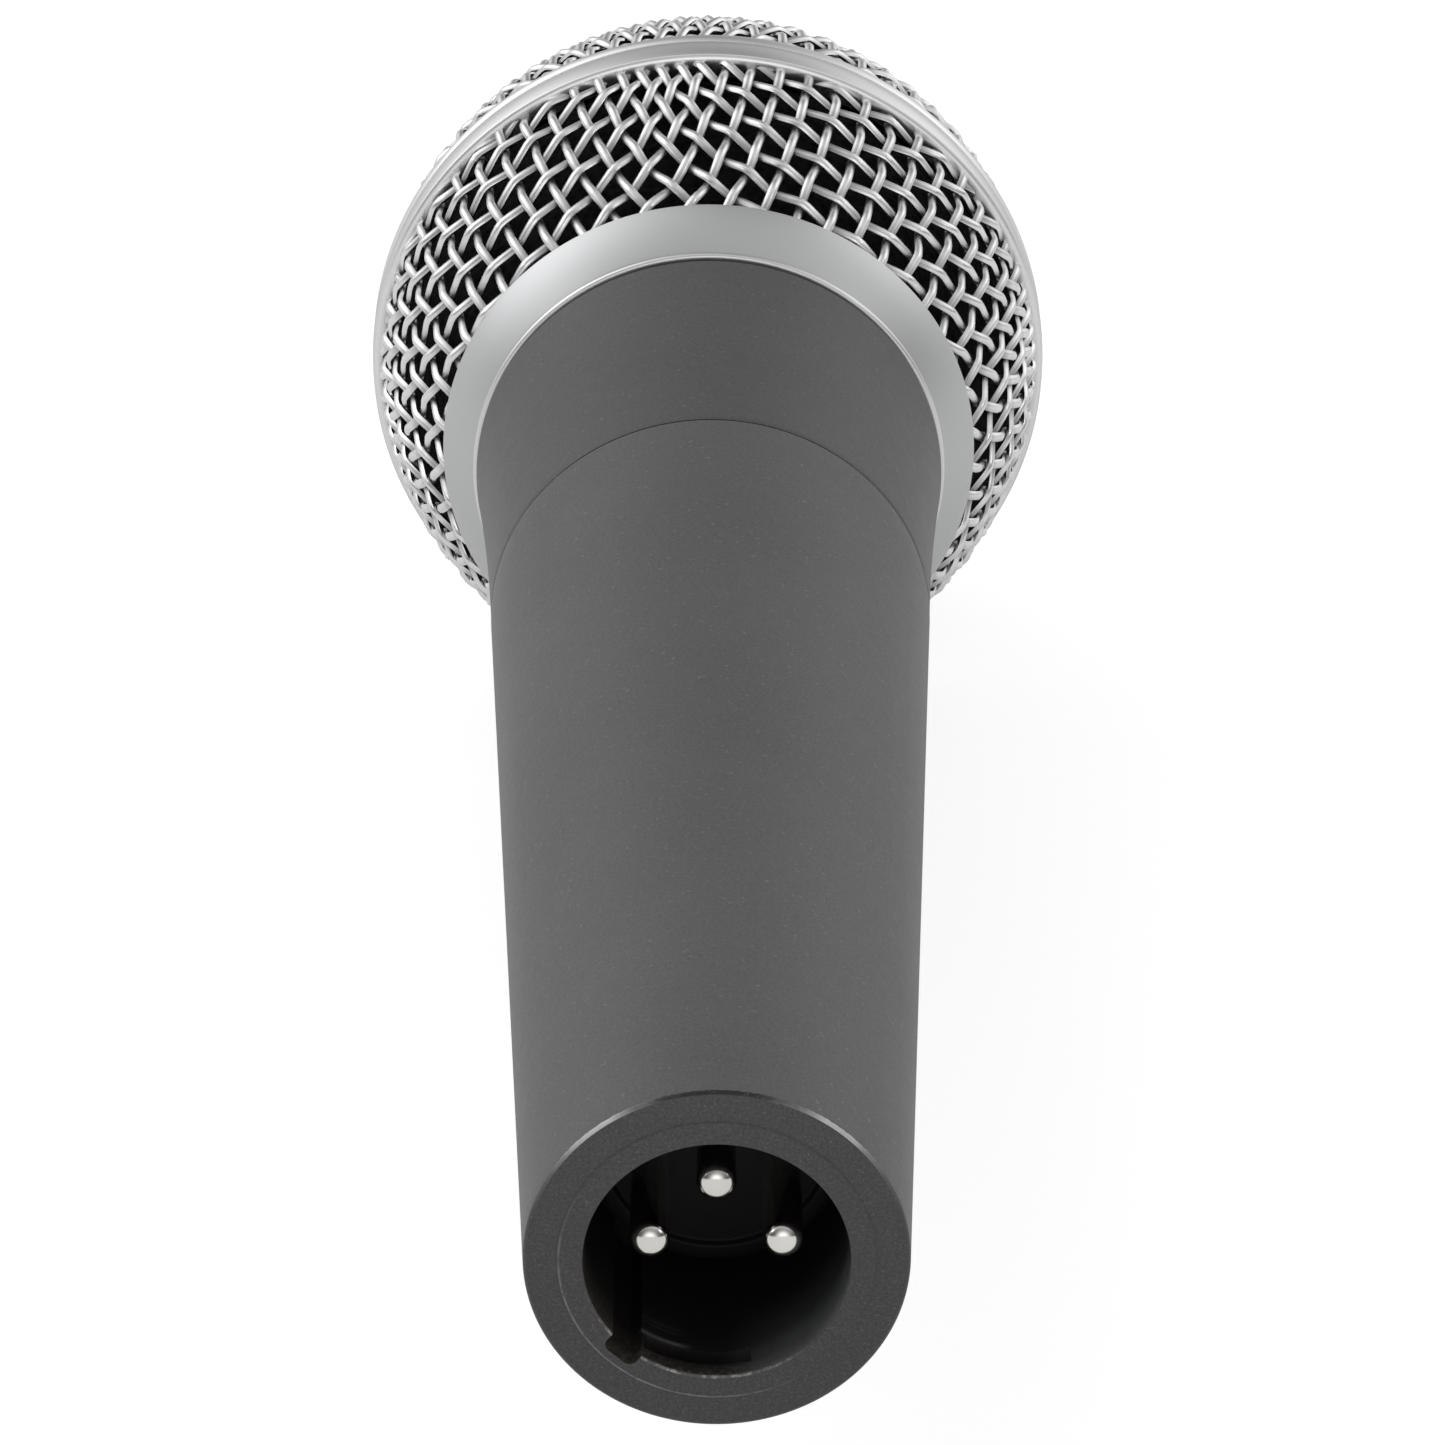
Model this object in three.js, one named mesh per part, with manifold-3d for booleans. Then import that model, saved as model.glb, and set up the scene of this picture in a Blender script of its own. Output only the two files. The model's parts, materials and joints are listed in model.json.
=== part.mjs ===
// Handheld vocal dynamic microphone, built as the separate pieces it comes apart into.
// Millimetres, +Z up. The long axis is Y: the connector end (tail) faces -Y and the grille
// (head) faces +Y. A station is the distance from the tail face along the axis; the group is
// moved at the end so that its origin is at mid-length. "Rear" is towards the tail.
// Every lathe profile is a list of [radius, station]. Angles run from +Z towards +X.
import * as THREE from 'three';
import { mergeVertices } from 'three/addons/utils/BufferGeometryUtils.js';
import Module from 'manifold-3d';

const wasm = await Module();
wasm.setup();

// ---------------------------------------------------------------- driving dimensions
const LENGTH = 162;
const FACETS = 32;               // round the large pieces
const SMALL_FACETS = 24;         // round the small pieces
const ROD_FACETS = 16;           // round pins, screw and their holes

// Handle
const TAIL_RADIUS = 11.5;
const HANDLE_END = 87.6;         // front edge
const HANDLE_END_RADIUS = 15.5;
const HANDLE_WALL = 2.2;
const HANDLE_BORE = 9.5;         // radius of the bore that the connector sits in

// Neck
const SEAM_GAP = 0.3;            // visible groove between handle and neck
const NECK_START = HANDLE_END + SEAM_GAP;
const NECK_END = 112.4;
const NECK_END_RADIUS = 17.2;
const NECK_WAIST = 0.2;          // how far the side curves in

// Threads, both right hand
const PITCH = 2.0;
const THREAD_HEIGHT = 0.6;       // external ridge above its root
const THREAD_CLEARANCE = 0.9;    // from external root to internal bore
const THREAD_EMBED = 0.3;        // how far a ridge's base is sunk in its wall
const INTERNAL_CREST = 0.3;      // internal crest above the external root
const RIDGE_BASE_WIDTH = 1.3;
const RIDGE_CREST_WIDTH = 0.55;
const HANDLE_THREAD = { root: 12.6, start: 80.9 };     // neck to handle
const GRILLE_THREAD = { root: 15.3, start: 113.8 };    // grille to neck

// Grille
const COLLAR_START = 112.8;
const COLLAR_END = 116.8;
const COLLAR_START_RADIUS = 17.25;
const COLLAR_END_RADIUS = 19.75;
const CONE_START = 116.95;       // lower, conical mesh
const CONE_END = 131.75;
const CONE_START_RADIUS = 19.8;
const CONE_END_RADIUS = 25.2;
const CONE_BULGE = 1.0;
const BAND_START = 132.0;        // band round the widest part
const BAND_END = 136.4;
const BAND_RADIUS = 25.65;
const DOME_START = 136.65;       // rim of the upper mesh
const DOME_RADIUS = 25.3;
const DOME_POWER = 1.97;         // superellipse exponent of the dome's section
const MESH_DEPTH = 1.1;          // woven wire layer
const FOAM_DEPTH = 2.2;

// ---------------------------------------------------------------- materials
const wireFinish = (color) => ({ color, roughness: 0.5, metalness: 0 });
const FINISHES = {
  handle: { color: 0x595a5c, roughness: 0.55, metalness: 0.35 },
  neck: { color: 0x4c4d50, roughness: 0.55, metalness: 0.35 },
  connector: { color: 0x3c3d40, roughness: 0.6, metalness: 0.3 },
  pins: { color: 0xcfd0cf, roughness: 0.25, metalness: 1 },
  carrier: { color: 0x141414, roughness: 0.45, metalness: 0 },
  silver: { color: 0xc4c5c6, roughness: 0.32, metalness: 1 },
  mesh: { color: 0xb9babb, roughness: 0.35, metalness: 1 },
  foam: { color: 0x141415, roughness: 0.95, metalness: 0 },
  rubber: { color: 0x1b1b1c, roughness: 0.85, metalness: 0 },
  steel: { color: 0x8f9194, roughness: 0.4, metalness: 0.9 },
  magnet: { color: 0x5b5a5c, roughness: 0.4, metalness: 0.8 },
  core: { color: 0x4b4744, roughness: 0.55, metalness: 0.6 },
  copper: { color: 0xa65b2c, roughness: 0.4, metalness: 0.8 },
  plastic: { color: 0x1f2021, roughness: 0.6, metalness: 0 },
  film: { color: 0xd8d2bd, roughness: 0.3, metalness: 0 },
  felt: { color: 0x6e6c66, roughness: 0.95, metalness: 0 },
  brass: { color: 0xb8964a, roughness: 0.35, metalness: 0.9 },
  board: { color: 0x6f4a2a, roughness: 0.7, metalness: 0 },
  wireRed: wireFinish(0xa92a22),
  wireBlack: wireFinish(0x1c1c1c),
  wireGreen: wireFinish(0x2f7a3d),
  wireYellow: wireFinish(0xc9a628),
};
const materials = Object.fromEntries(Object.entries(FINISHES)
  .map(([name, finish]) => [name, new THREE.MeshStandardMaterial(finish)]));

// ---------------------------------------------------------------- geometry helpers
// Keeps positions only, welds them, drops the empty triangles a lathe leaves at its poles
// and turns the faces outwards.
function clean(geometry) {
  const loose = geometry.index ? geometry.toNonIndexed() : geometry.clone();
  for (const name of Object.keys(loose.attributes)) {
    if (name !== 'position') loose.deleteAttribute(name);
  }
  const welded = mergeVertices(loose, 1e-4);
  const points = welded.attributes.position;
  const corners = welded.index.array;
  const corner = (index) => new THREE.Vector3().fromBufferAttribute(points, index);
  const kept = [];
  let volume = 0;
  for (let i = 0; i < corners.length; i += 3) {
    const [first, second, third] = corners.subarray(i, i + 3);
    if (first === second || second === third || third === first) continue;
    volume += corner(first).dot(corner(second).cross(corner(third)));
    kept.push(first, second, third);
  }
  if (volume < 0) {
    for (let i = 0; i < kept.length; i += 3) {
      [kept[i + 1], kept[i + 2]] = [kept[i + 2], kept[i + 1]];
    }
  }
  welded.setIndex(kept);
  return welded;
}

function toSolid(geometry) {
  const cleaned = clean(geometry);
  return new wasm.Manifold(new wasm.Mesh({
    numProp: 3,
    vertProperties: new Float32Array(cleaned.attributes.position.array),
    triVerts: new Uint32Array(cleaned.index.array),
  }));
}

// Joins geometries to a body, then cuts others from it.
function combine(body, { joined = [], cut = [] }) {
  let solid = toSolid(body);
  for (const piece of joined) solid = solid.add(toSolid(piece));
  for (const piece of cut) solid = solid.subtract(toSolid(piece));
  const result = solid.getMesh();
  const geometry = new THREE.BufferGeometry();
  const positions = new Float32Array(result.vertProperties);
  geometry.setAttribute('position', new THREE.BufferAttribute(positions, 3));
  geometry.setIndex(new THREE.BufferAttribute(new Uint32Array(result.triVerts), 1));
  return geometry;
}

const vectors = (pairs) => pairs.map((pair) => new THREE.Vector2(...pair));

// Solid of revolution about the long axis. A profile whose ends are not both on the axis is
// closed on itself.
function lathe(profile, facets = FACETS) {
  const points = vectors(profile);
  const first = points[0];
  const last = points[points.length - 1];
  if (!(first.x === 0 && last.x === 0)) points.push(first.clone());
  return clean(new THREE.LatheGeometry(points, facets));
}

// Flat ring about the axis; a disc when no inner radius is given.
function ring({ inner = 0, outer, start, end, facets = SMALL_FACETS }) {
  return lathe([[inner, start], [outer, start], [outer, end], [inner, end]], facets);
}

// Box between [low, high] limits.
function box([left, right], [start, end], [bottom, top]) {
  const block = new THREE.BoxGeometry(right - left, end - start, top - bottom);
  block.translate((left + right) / 2, (start + end) / 2, (bottom + top) / 2);
  return block;
}

// Block bent round the axis. place() turns the fractions along, across and up the block
// into [angle in radians, station, radius].
function bentBlock(steps, place) {
  const block = new THREE.BoxGeometry(1, 1, 1, steps, 1, 1);
  const points = block.attributes.position;
  for (let i = 0; i < points.count; i++) {
    const fractions = [points.getX(i) + 0.5, points.getY(i) + 0.5, points.getZ(i) + 0.5];
    const [angle, station, radius] = place(...fractions);
    points.setXYZ(i, radius * Math.sin(angle), station, radius * Math.cos(angle));
  }
  return block;
}

// Right-hand helical ridge of trapezoid section, growing from base radius to crest radius.
function threadRidge(base, crest, start, turns) {
  return bentBlock(Math.round((turns * FACETS) / 2), (along, across, up) => {
    const width = RIDGE_BASE_WIDTH + (RIDGE_CREST_WIDTH - RIDGE_BASE_WIDTH) * up;
    return [
      2 * Math.PI * turns * along,
      start + PITCH * turns * along + (across - 0.5) * width,
      base + (crest - base) * up,
    ];
  });
}
const externalRidge = ({ root, start }, turns) =>
  threadRidge(root - THREAD_EMBED, root + THREAD_HEIGHT, start, turns);
const threadBore = ({ root }) => root + THREAD_CLEARANCE;
// Half a pitch on from the external ridge, so that the two interleave.
const internalRidge = (thread, turns) => threadRidge(
  threadBore(thread) + THREAD_EMBED, thread.root + INTERNAL_CREST, thread.start + PITCH / 2, turns,
);

// Rectangular plate across the axis with a rectangular hole. Sizes are half [x, z].
function framePlate([outerX, outerZ], [holeX, holeZ], start, end) {
  const outline = [[-outerX, -outerZ], [outerX, -outerZ], [outerX, outerZ], [-outerX, outerZ]];
  const hole = [[-holeX, -holeZ], [-holeX, holeZ], [holeX, holeZ], [holeX, -holeZ]];
  const shape = new THREE.Shape(vectors(outline));
  shape.holes.push(new THREE.Path(vectors(hole)));
  const plate = new THREE.ExtrudeGeometry(shape, { depth: end - start, bevelEnabled: false });
  plate.rotateX(-Math.PI / 2);   // extrusion turned from +Z to +Y
  plate.translate(0, start, 0);
  return plate;
}

// Cylinder along the axis, centred on [x, station, z].
function axialRod(radius, length, facets, centre) {
  const rod = new THREE.CylinderGeometry(radius, radius, length, facets);
  rod.translate(...centre);
  return rod;
}

// Hexagonal lead through [x, station, z] points.
const LEAD_RADIUS = 0.45;
const LEAD_SIDES = 6;
const LEAD_STEPS = 9;
function lead(path) {
  const section = new THREE.Shape(Array.from({ length: LEAD_SIDES }, (_, i) => {
    const angle = (2 * Math.PI * i) / LEAD_SIDES;
    return new THREE.Vector2(LEAD_RADIUS * Math.cos(angle), LEAD_RADIUS * Math.sin(angle));
  }));
  section.closePath();
  const extrudePath = new THREE.CatmullRomCurve3(path.map((at) => new THREE.Vector3(...at)));
  const options = { steps: LEAD_STEPS, extrudePath, bevelEnabled: false };
  return clean(new THREE.ExtrudeGeometry(section, options));
}

const mic = new THREE.Group();
function add(name, material, geometry) {
  const mesh = new THREE.Mesh(geometry, material);
  mesh.name = name;
  mic.add(mesh);
}

// ---------------------------------------------------------------- handle
const SCREW_STATION = 16.6;      // set screw in the underside, locking the pin carrier
const HOLE_BOTTOM = -14;         // below the handle's surface, so that cuts pass through it

// Vertical cylinder on the set screw's line.
function screwRod(radius, bottom, top) {
  const rod = new THREE.CylinderGeometry(radius, radius, top - bottom, ROD_FACETS);
  rod.rotateX(Math.PI / 2);
  rod.translate(0, SCREW_STATION, (bottom + top) / 2);
  return rod;
}

function handleShell() {
  const radiusAt = (station) =>
    TAIL_RADIUS + ((HANDLE_END_RADIUS - TAIL_RADIUS) * station) / HANDLE_END;
  const bore = threadBore(HANDLE_THREAD);
  const cavityStart = 22;
  const cavityEnd = 78;
  const boreEnd = 20.2;
  const cavityStartRadius = radiusAt(cavityStart) - HANDLE_WALL;
  const body = lathe([
    [HANDLE_BORE, 0.35], [HANDLE_BORE + 0.35, 0],
    [TAIL_RADIUS - 0.5, 0], [TAIL_RADIUS - 0.13, 0.15], [radiusAt(0.5), 0.55],
    [radiusAt(HANDLE_END - 0.25), HANDLE_END - 0.25], [HANDLE_END_RADIUS - 0.3, HANDLE_END],
    [bore, HANDLE_END], [bore, 79.2],
    [radiusAt(cavityEnd) - HANDLE_WALL, cavityEnd],
    [cavityStartRadius, cavityStart], [cavityStartRadius, boreEnd], [HANDLE_BORE, boreEnd],
  ]);
  return combine(body, {
    joined: [internalRidge(HANDLE_THREAD, 2)],
    cut: [screwRod(1.35, HOLE_BOTTOM, -8)],
  });
}
add('handle_shell', materials.handle, handleShell());

// ---------------------------------------------------------------- connector
const SLEEVE_RADIUS = 9.4;
const SLEEVE_BORE = 7.95;
const SLEEVE_END = 13.4;
const KEYWAY_ANGLE = THREE.MathUtils.degToRad(221);
const INSERT_START = 13.55;      // rear face of the pin carrier
const INSERT_END = 19.6;
const PIN_RADIUS = 1.195;
const PIN_CIRCLE = 3.96;         // radius of the circle the pins stand on
const PIN_TIP = 1.9;
const PIN_END = 24;
const PIN_PLACES = {             // [x, z]
  pin_1: [-PIN_CIRCLE, 0],
  pin_2: [PIN_CIRCLE, 0],
  pin_3: [0, PIN_CIRCLE],
};

// Sleeve with a keyway along its whole bore and a short arc recess near the tail.
function connectorShell() {
  const body = lathe([
    [SLEEVE_BORE + 0.5, 0.1], [SLEEVE_RADIUS - 0.15, 0.1], [SLEEVE_RADIUS, 0.25],
    [SLEEVE_RADIUS, SLEEVE_END], [SLEEVE_BORE, SLEEVE_END], [SLEEVE_BORE, 0.6],
  ]);
  const keyway = box([-1, 1], [-3, 17], [7.6, 9]);
  keyway.rotateY(KEYWAY_ANGLE);
  const recess = { from: 165, to: 214, start: 1.3, end: 3.1, inner: 7, outer: 8.75 };
  const recessBlock = bentBlock(8, (along, across, up) => [
    THREE.MathUtils.degToRad(recess.from + (recess.to - recess.from) * along),
    recess.start + (recess.end - recess.start) * across,
    recess.inner + (recess.outer - recess.inner) * up,
  ]);
  return combine(body, { cut: [keyway, recessBlock] });
}

function connectorInsert() {
  const radius = SLEEVE_RADIUS - 0.1;
  const stepRadius = 8.2;
  const step = INSERT_END - 1.2;
  const middle = (INSERT_START + INSERT_END) / 2;
  const body = lathe([
    [0, INSERT_START], [radius, INSERT_START], [radius, step],
    [stepRadius, step], [stepRadius, INSERT_END], [0, INSERT_END],
  ]);
  const pinHoles = Object.values(PIN_PLACES)
    .map(([x, z]) => axialRod(1.35, 10, ROD_FACETS, [x, middle, z]));
  const screwRecess = screwRod(1.3, HOLE_BOTTOM, -7.4);
  return combine(body, { cut: [...pinHoles, screwRecess] });
}

// Pin with a rounded tip and a blind hole in its front end.
function pin([x, z]) {
  const holeRadius = 0.8;
  const holeFloor = 21.2;
  const body = lathe([
    [0, PIN_TIP], [0.6, PIN_TIP + 0.15], [1.0, PIN_TIP + 0.5], [PIN_RADIUS, PIN_TIP + 1.1],
    [PIN_RADIUS, PIN_END], [holeRadius, PIN_END], [holeRadius, holeFloor], [0, holeFloor],
  ], ROD_FACETS);
  body.translate(x, 0, z);
  return body;
}

function setScrew() {
  const head = -11.7;
  const slot = box(
    [-1.5, 1.5], [SCREW_STATION - 0.2, SCREW_STATION + 0.2], [head - 0.6, head + 0.6],
  );
  return combine(screwRod(1.2, head, -7.7), { cut: [slot] });
}

// Bent strip beside pin 1, turned forwards inside the handle's wall.
function groundSpring() {
  const width = 2.4;
  const outline = [              // [x, station]
    [-5.4, 20.0], [-7.9, 20.0], [-9.8, 21.6], [-9.8, 24.6],
    [-9.5, 24.6], [-9.5, 21.75], [-7.8, 20.3], [-5.4, 20.3],
  ];
  const shape = new THREE.Shape(vectors(outline));
  const strip = new THREE.ExtrudeGeometry(shape, { depth: width, bevelEnabled: false });
  strip.translate(0, 0, -width / 2);
  return clean(strip);
}

add('connector_shell', materials.connector, connectorShell());
add('connector_insert', materials.carrier, connectorInsert());
for (const [name, place] of Object.entries(PIN_PLACES)) add(name, materials.pins, pin(place));
add('insert_set_screw', materials.steel, setScrew());
add('ground_spring', materials.brass, groundSpring());

// ---------------------------------------------------------------- output transformer
const CORE_HALF_HEIGHT = 4.5;
const LEG_HALF_WIDTH = 2.5;      // core's middle leg
const WINDOW_START = 37;         // the two windows beside the leg
const WINDOW_END = 53;
const BOBBIN_START = WINDOW_START + 0.3;
const BOBBIN_END = WINDOW_END - 0.3;
const BOBBIN_HOLE = [LEG_HALF_WIDTH + 0.25, CORE_HALF_HEIGHT + 0.25];   // half [x, z]
const BOBBIN_TUBE = [3.1, 5.1];
const BOBBIN_FLANGE = [4.85, 7.9];
const FLANGE_DEPTH = 0.8;
const WINDING_GAP = 0.2;         // between winding and bobbin

function transformerCore() {
  const body = box([-7.5, 7.5], [34, 56], [-CORE_HALF_HEIGHT, CORE_HALF_HEIGHT]);
  const windowAt = (sides) => box(sides, [WINDOW_START, WINDOW_END], [-9, 9]);
  return combine(body, {
    cut: [windowAt([-5.1, -LEG_HALF_WIDTH]), windowAt([LEG_HALF_WIDTH, 5.1])],
  });
}

function transformerBobbin() {
  const flange = (start, end) => framePlate(BOBBIN_FLANGE, BOBBIN_HOLE, start, end);
  return combine(framePlate(BOBBIN_TUBE, BOBBIN_HOLE, BOBBIN_START, BOBBIN_END), {
    joined: [
      flange(BOBBIN_START, BOBBIN_START + FLANGE_DEPTH),
      flange(BOBBIN_END - FLANGE_DEPTH, BOBBIN_END),
    ],
  });
}

function transformerWinding() {
  const inset = FLANGE_DEPTH + WINDING_GAP;
  const hole = BOBBIN_TUBE.map((half) => half + WINDING_GAP);
  return clean(framePlate([4.7, 7.3], hole, BOBBIN_START + inset, BOBBIN_END - inset));
}

const rearPad = { inner: 4.2, outer: 10.4, start: 30.6, end: 33.6 };
const frontPad = { inner: 3.0, outer: 11.5, start: 56.4, end: 59.2 };
add('transformer_core', materials.core, transformerCore());
add('transformer_bobbin', materials.plastic, transformerBobbin());
add('transformer_winding', materials.copper, transformerWinding());
add('transformer_rear_pad', materials.rubber, ring(rearPad));
add('transformer_front_pad', materials.rubber, ring(frontPad));

// Leads from the pins to the transformer, as [x, station, z]; pins 1 and 2 mirror each other
const pin2Path = [
  [PIN_CIRCLE, 22.2, 0], [PIN_CIRCLE, 25.6, 0], [3.0, 28.4, -0.6],
  [2.6, 31.5, -1.6], [2.8, 33.5, -2.0],
];
const pin1Path = pin2Path.map(([x, station, z]) => [-x, station, z]);
const pin3Path = [
  [0, 22.2, PIN_CIRCLE], [0, 25.6, PIN_CIRCLE], [0.2, 28.4, 3.0], [0, 31.5, 2.3], [0, 33.5, 2.3],
];
add('lead_pin_1', materials.wireBlack, lead(pin1Path));
add('lead_pin_2', materials.wireRed, lead(pin2Path));
add('lead_pin_3', materials.wireYellow, lead(pin3Path));

// ---------------------------------------------------------------- neck
function neckCollar() {
  const sidePoint = (station) => {
    const along = (station - NECK_START) / (NECK_END - NECK_START);
    const straight = HANDLE_END_RADIUS + (NECK_END_RADIUS - HANDLE_END_RADIUS) * along;
    return [straight - NECK_WAIST * 4 * along * (1 - along), station];
  };
  const rearRoot = HANDLE_THREAD.root;
  const frontRoot = GRILLE_THREAD.root;
  const body = lathe([
    [11.3, 79.6], [rearRoot, 79.6], [rearRoot, NECK_START],
    [HANDLE_END_RADIUS - 0.4, NECK_START], [HANDLE_END_RADIUS - 0.1, NECK_START + 0.25],
    ...[96, 104, NECK_END - 0.5].map(sidePoint),
    [NECK_END_RADIUS - 0.35, NECK_END], [frontRoot, NECK_END], [frontRoot, 118.4],
    [14.0, 118.4], [14.0, 103.5], [13.0, 103.5], [13.0, 89.5], [11.3, 88.4],
  ]);
  return combine(body, {
    joined: [externalRidge(HANDLE_THREAD, 2), externalRidge(GRILLE_THREAD, 1.5)],
  });
}

const neckGasket = {
  inner: 13.4, outer: 15.0, start: HANDLE_END + 0.03, end: NECK_START - 0.03, facets: FACETS,
};
const MOUNT_INNER = 12.35;       // rubber rings between cartridge and neck
const MOUNT_OUTER = 13.85;
const rearMountProfile = [
  [MOUNT_INNER, 103.7], [MOUNT_OUTER, 103.7], [MOUNT_OUTER, 107.8],
  [13.3, 108.3], [MOUNT_INNER, 108.3],
];
const frontMount = {
  inner: MOUNT_INNER, outer: MOUNT_OUTER, start: 114.0, end: 118.2, facets: FACETS,
};
add('neck_collar', materials.neck, neckCollar());
add('neck_gasket', materials.rubber, ring(neckGasket));
add('shock_mount_rear', materials.rubber, lathe(rearMountProfile));
add('shock_mount_front', materials.rubber, ring(frontMount));

// ---------------------------------------------------------------- cartridge
const housingProfile = [
  [7.0, 105.7], [12.1, 105.7], [12.1, 126.8], [11.2, 126.8], [11.2, 107.0], [7.0, 107.0],
];
const chamberProfile = [
  [0, 72.0], [9.1, 72.0], [9.6, 72.5], [9.6, 105.4], [8.4, 105.4], [8.4, 73.3], [0, 73.3],
];
const yokeProfile = [
  [0, 107.2], [11.0, 107.2], [11.0, 117.1], [9.6, 117.1], [9.6, 108.9], [0, 108.9],
];

// Thin film: a parabolic crown with a rounded surround.
function diaphragm() {
  const crownRadius = 6.45;
  const crownTop = 123.3;
  const crownHeight = 1.9;
  const thickness = 0.22;
  const crownSteps = 4;
  const front = [];
  for (let i = 0; i <= crownSteps; i++) {
    const out = i / crownSteps;
    front.push([crownRadius * out, crownTop - crownHeight * out * out]);
  }
  front.push([7.4, 121.9], [8.6, 122.25], [9.6, 122.0], [10.3, 121.4]);
  const back = front.map(([radius, station]) => [radius, station - thickness]).reverse();
  return lathe([...front, ...back], SMALL_FACETS);
}

// Domed cap with eight holes round a central one.
function resonatorCap() {
  const body = lathe([
    [0, 130.2], [5.0, 129.8], [8.4, 128.6], [10.9, 126.6], [10.9, 124.7],
    [9.6, 124.7], [9.6, 126.2], [7.8, 127.4], [4.8, 128.4], [0, 128.8],
  ], SMALL_FACETS);
  const holeCircle = 6.4;
  const drill = (radius, facets, x, z) => axialRod(radius, 12, facets, [x, 128, z]);
  const holes = Array.from({ length: 8 }, (_, i) => {
    const angle = (i * Math.PI) / 4;
    return drill(1.1, 8, holeCircle * Math.sin(angle), holeCircle * Math.cos(angle));
  });
  return combine(body, { cut: [...holes, drill(1.6, 12, 0, 0)] });
}

const addRing = (name, material, size) => add(name, material, ring(size));
add('cartridge_housing', materials.plastic, lathe(housingProfile));
add('rear_chamber', materials.plastic, lathe(chamberProfile, SMALL_FACETS));
addRing('damping_felt', materials.felt, { outer: 8.1, start: 101.4, end: 103.6 });
add('yoke_cup', materials.steel, lathe(yokeProfile, SMALL_FACETS));
addRing('magnet', materials.magnet, { outer: 6.2, start: 109.1, end: 113.6 });
addRing('pole_piece', materials.steel, { outer: 6, start: 113.75, end: 119 });
addRing('top_plate', materials.steel, { inner: 6.95, outer: 11, start: 117.3, end: 119 });
addRing('diaphragm_ring', materials.brass, { inner: 10.55, outer: 11.05, start: 119.2, end: 122.4 });
addRing('voice_coil', materials.copper, { inner: 6.25, outer: 6.65, start: 115, end: 120.95 });
add('diaphragm', materials.film, diaphragm());
addRing('capsule_screen', materials.steel, { outer: 10.9, start: 124, end: 124.4 });
add('resonator_cap', materials.plastic, resonatorCap());

// Terminals and leads behind the rear chamber
const LUG_X = 3.4;
const lug = (x) => clean(box([x - 0.8, x + 0.8], [66.9, 69.9], [-0.25, 0.25]));
const coil2Path = [              // [x, station, z]
  [LUG_X, 69.6, -0.95], [LUG_X, 66.6, -0.95], [2.6, 64.0, -1.4], [1.4, 61.6, -0.8],
  [1.2, 59.9, -0.4],
];
const coil1Path = coil2Path.map(([x, station, z]) => [-x, station, -z]);
addRing('terminal_board', materials.board, { outer: 6.4, start: 70.2, end: 71.8 });
add('terminal_lug_1', materials.brass, lug(-LUG_X));
add('terminal_lug_2', materials.brass, lug(LUG_X));
add('lead_coil_1', materials.wireYellow, lead(coil1Path));
add('lead_coil_2', materials.wireGreen, lead(coil2Path));

// ---------------------------------------------------------------- grille
function grilleCollar() {
  const bore = threadBore(GRILLE_THREAD);
  const lipRadius = COLLAR_START_RADIUS + 0.1;
  const body = lathe([
    [bore, COLLAR_START], [COLLAR_START_RADIUS - 0.2, COLLAR_START],
    [lipRadius, COLLAR_START + 0.25], [lipRadius, COLLAR_START + 0.6],
    [COLLAR_END_RADIUS, COLLAR_END - 0.2], [COLLAR_END_RADIUS - 0.2, COLLAR_END],
    [17.5, COLLAR_END], [17.5, 118.3], [bore, 118.3],
  ]);
  return combine(body, { joined: [internalRidge(GRILLE_THREAD, 1.25)] });
}

// Evenly spaced points on the lower mesh's bulging side.
function conePoints(start, end, steps) {
  return Array.from({ length: steps + 1 }, (_, i) => {
    const station = start + ((end - start) * i) / steps;
    const along = (station - COLLAR_END) / (BAND_START - COLLAR_END);
    const straight = CONE_START_RADIUS + (CONE_END_RADIUS - CONE_START_RADIUS) * along;
    return [straight + CONE_BULGE * 4 * along * (1 - along), station];
  });
}

// Profile of the layer between two depths under an outer line.
function layer(outer, nearDepth, farDepth) {
  const offset = (depth) => outer.map(([radius, station], i) => {
    const before = outer[Math.max(0, i - 1)];
    const after = outer[Math.min(outer.length - 1, i + 1)];
    const radiusRun = after[0] - before[0];
    const stationRun = after[1] - before[1];
    const run = Math.hypot(radiusRun, stationRun);
    return [radius - (depth * stationRun) / run, station + (depth * radiusRun) / run];
  });
  return [...offset(nearDepth), ...offset(farDepth).reverse()];
}

// Superellipse section of the dome at a depth, from the rim to the pole.
function domePoints(depth, steps) {
  const exponent = 2 / DOME_POWER;
  return Array.from({ length: steps + 1 }, (_, i) => {
    const angle = (Math.PI / 2) * (i / steps);
    const radius = i === steps ? 0 : (DOME_RADIUS - depth) * Math.cos(angle) ** exponent;
    return [radius, DOME_START + (LENGTH - DOME_START - depth) * Math.sin(angle) ** exponent];
  });
}

function lowerFoam() {
  const outer = conePoints(118.9, 130.9, 3);
  return lathe(layer(outer, MESH_DEPTH + 0.25, MESH_DEPTH + FOAM_DEPTH), SMALL_FACETS);
}

// The foam's rim is held just above the dome's.
function upperFoam() {
  const gap = 0.3;
  const line = (depth) => domePoints(depth, 6)
    .map(([radius, station]) => [radius, Math.max(station, DOME_START + gap)]);
  const outer = line(MESH_DEPTH + gap);
  const inner = line(MESH_DEPTH + FOAM_DEPTH + gap);
  return lathe([...outer.reverse(), ...inner], SMALL_FACETS);
}

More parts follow.
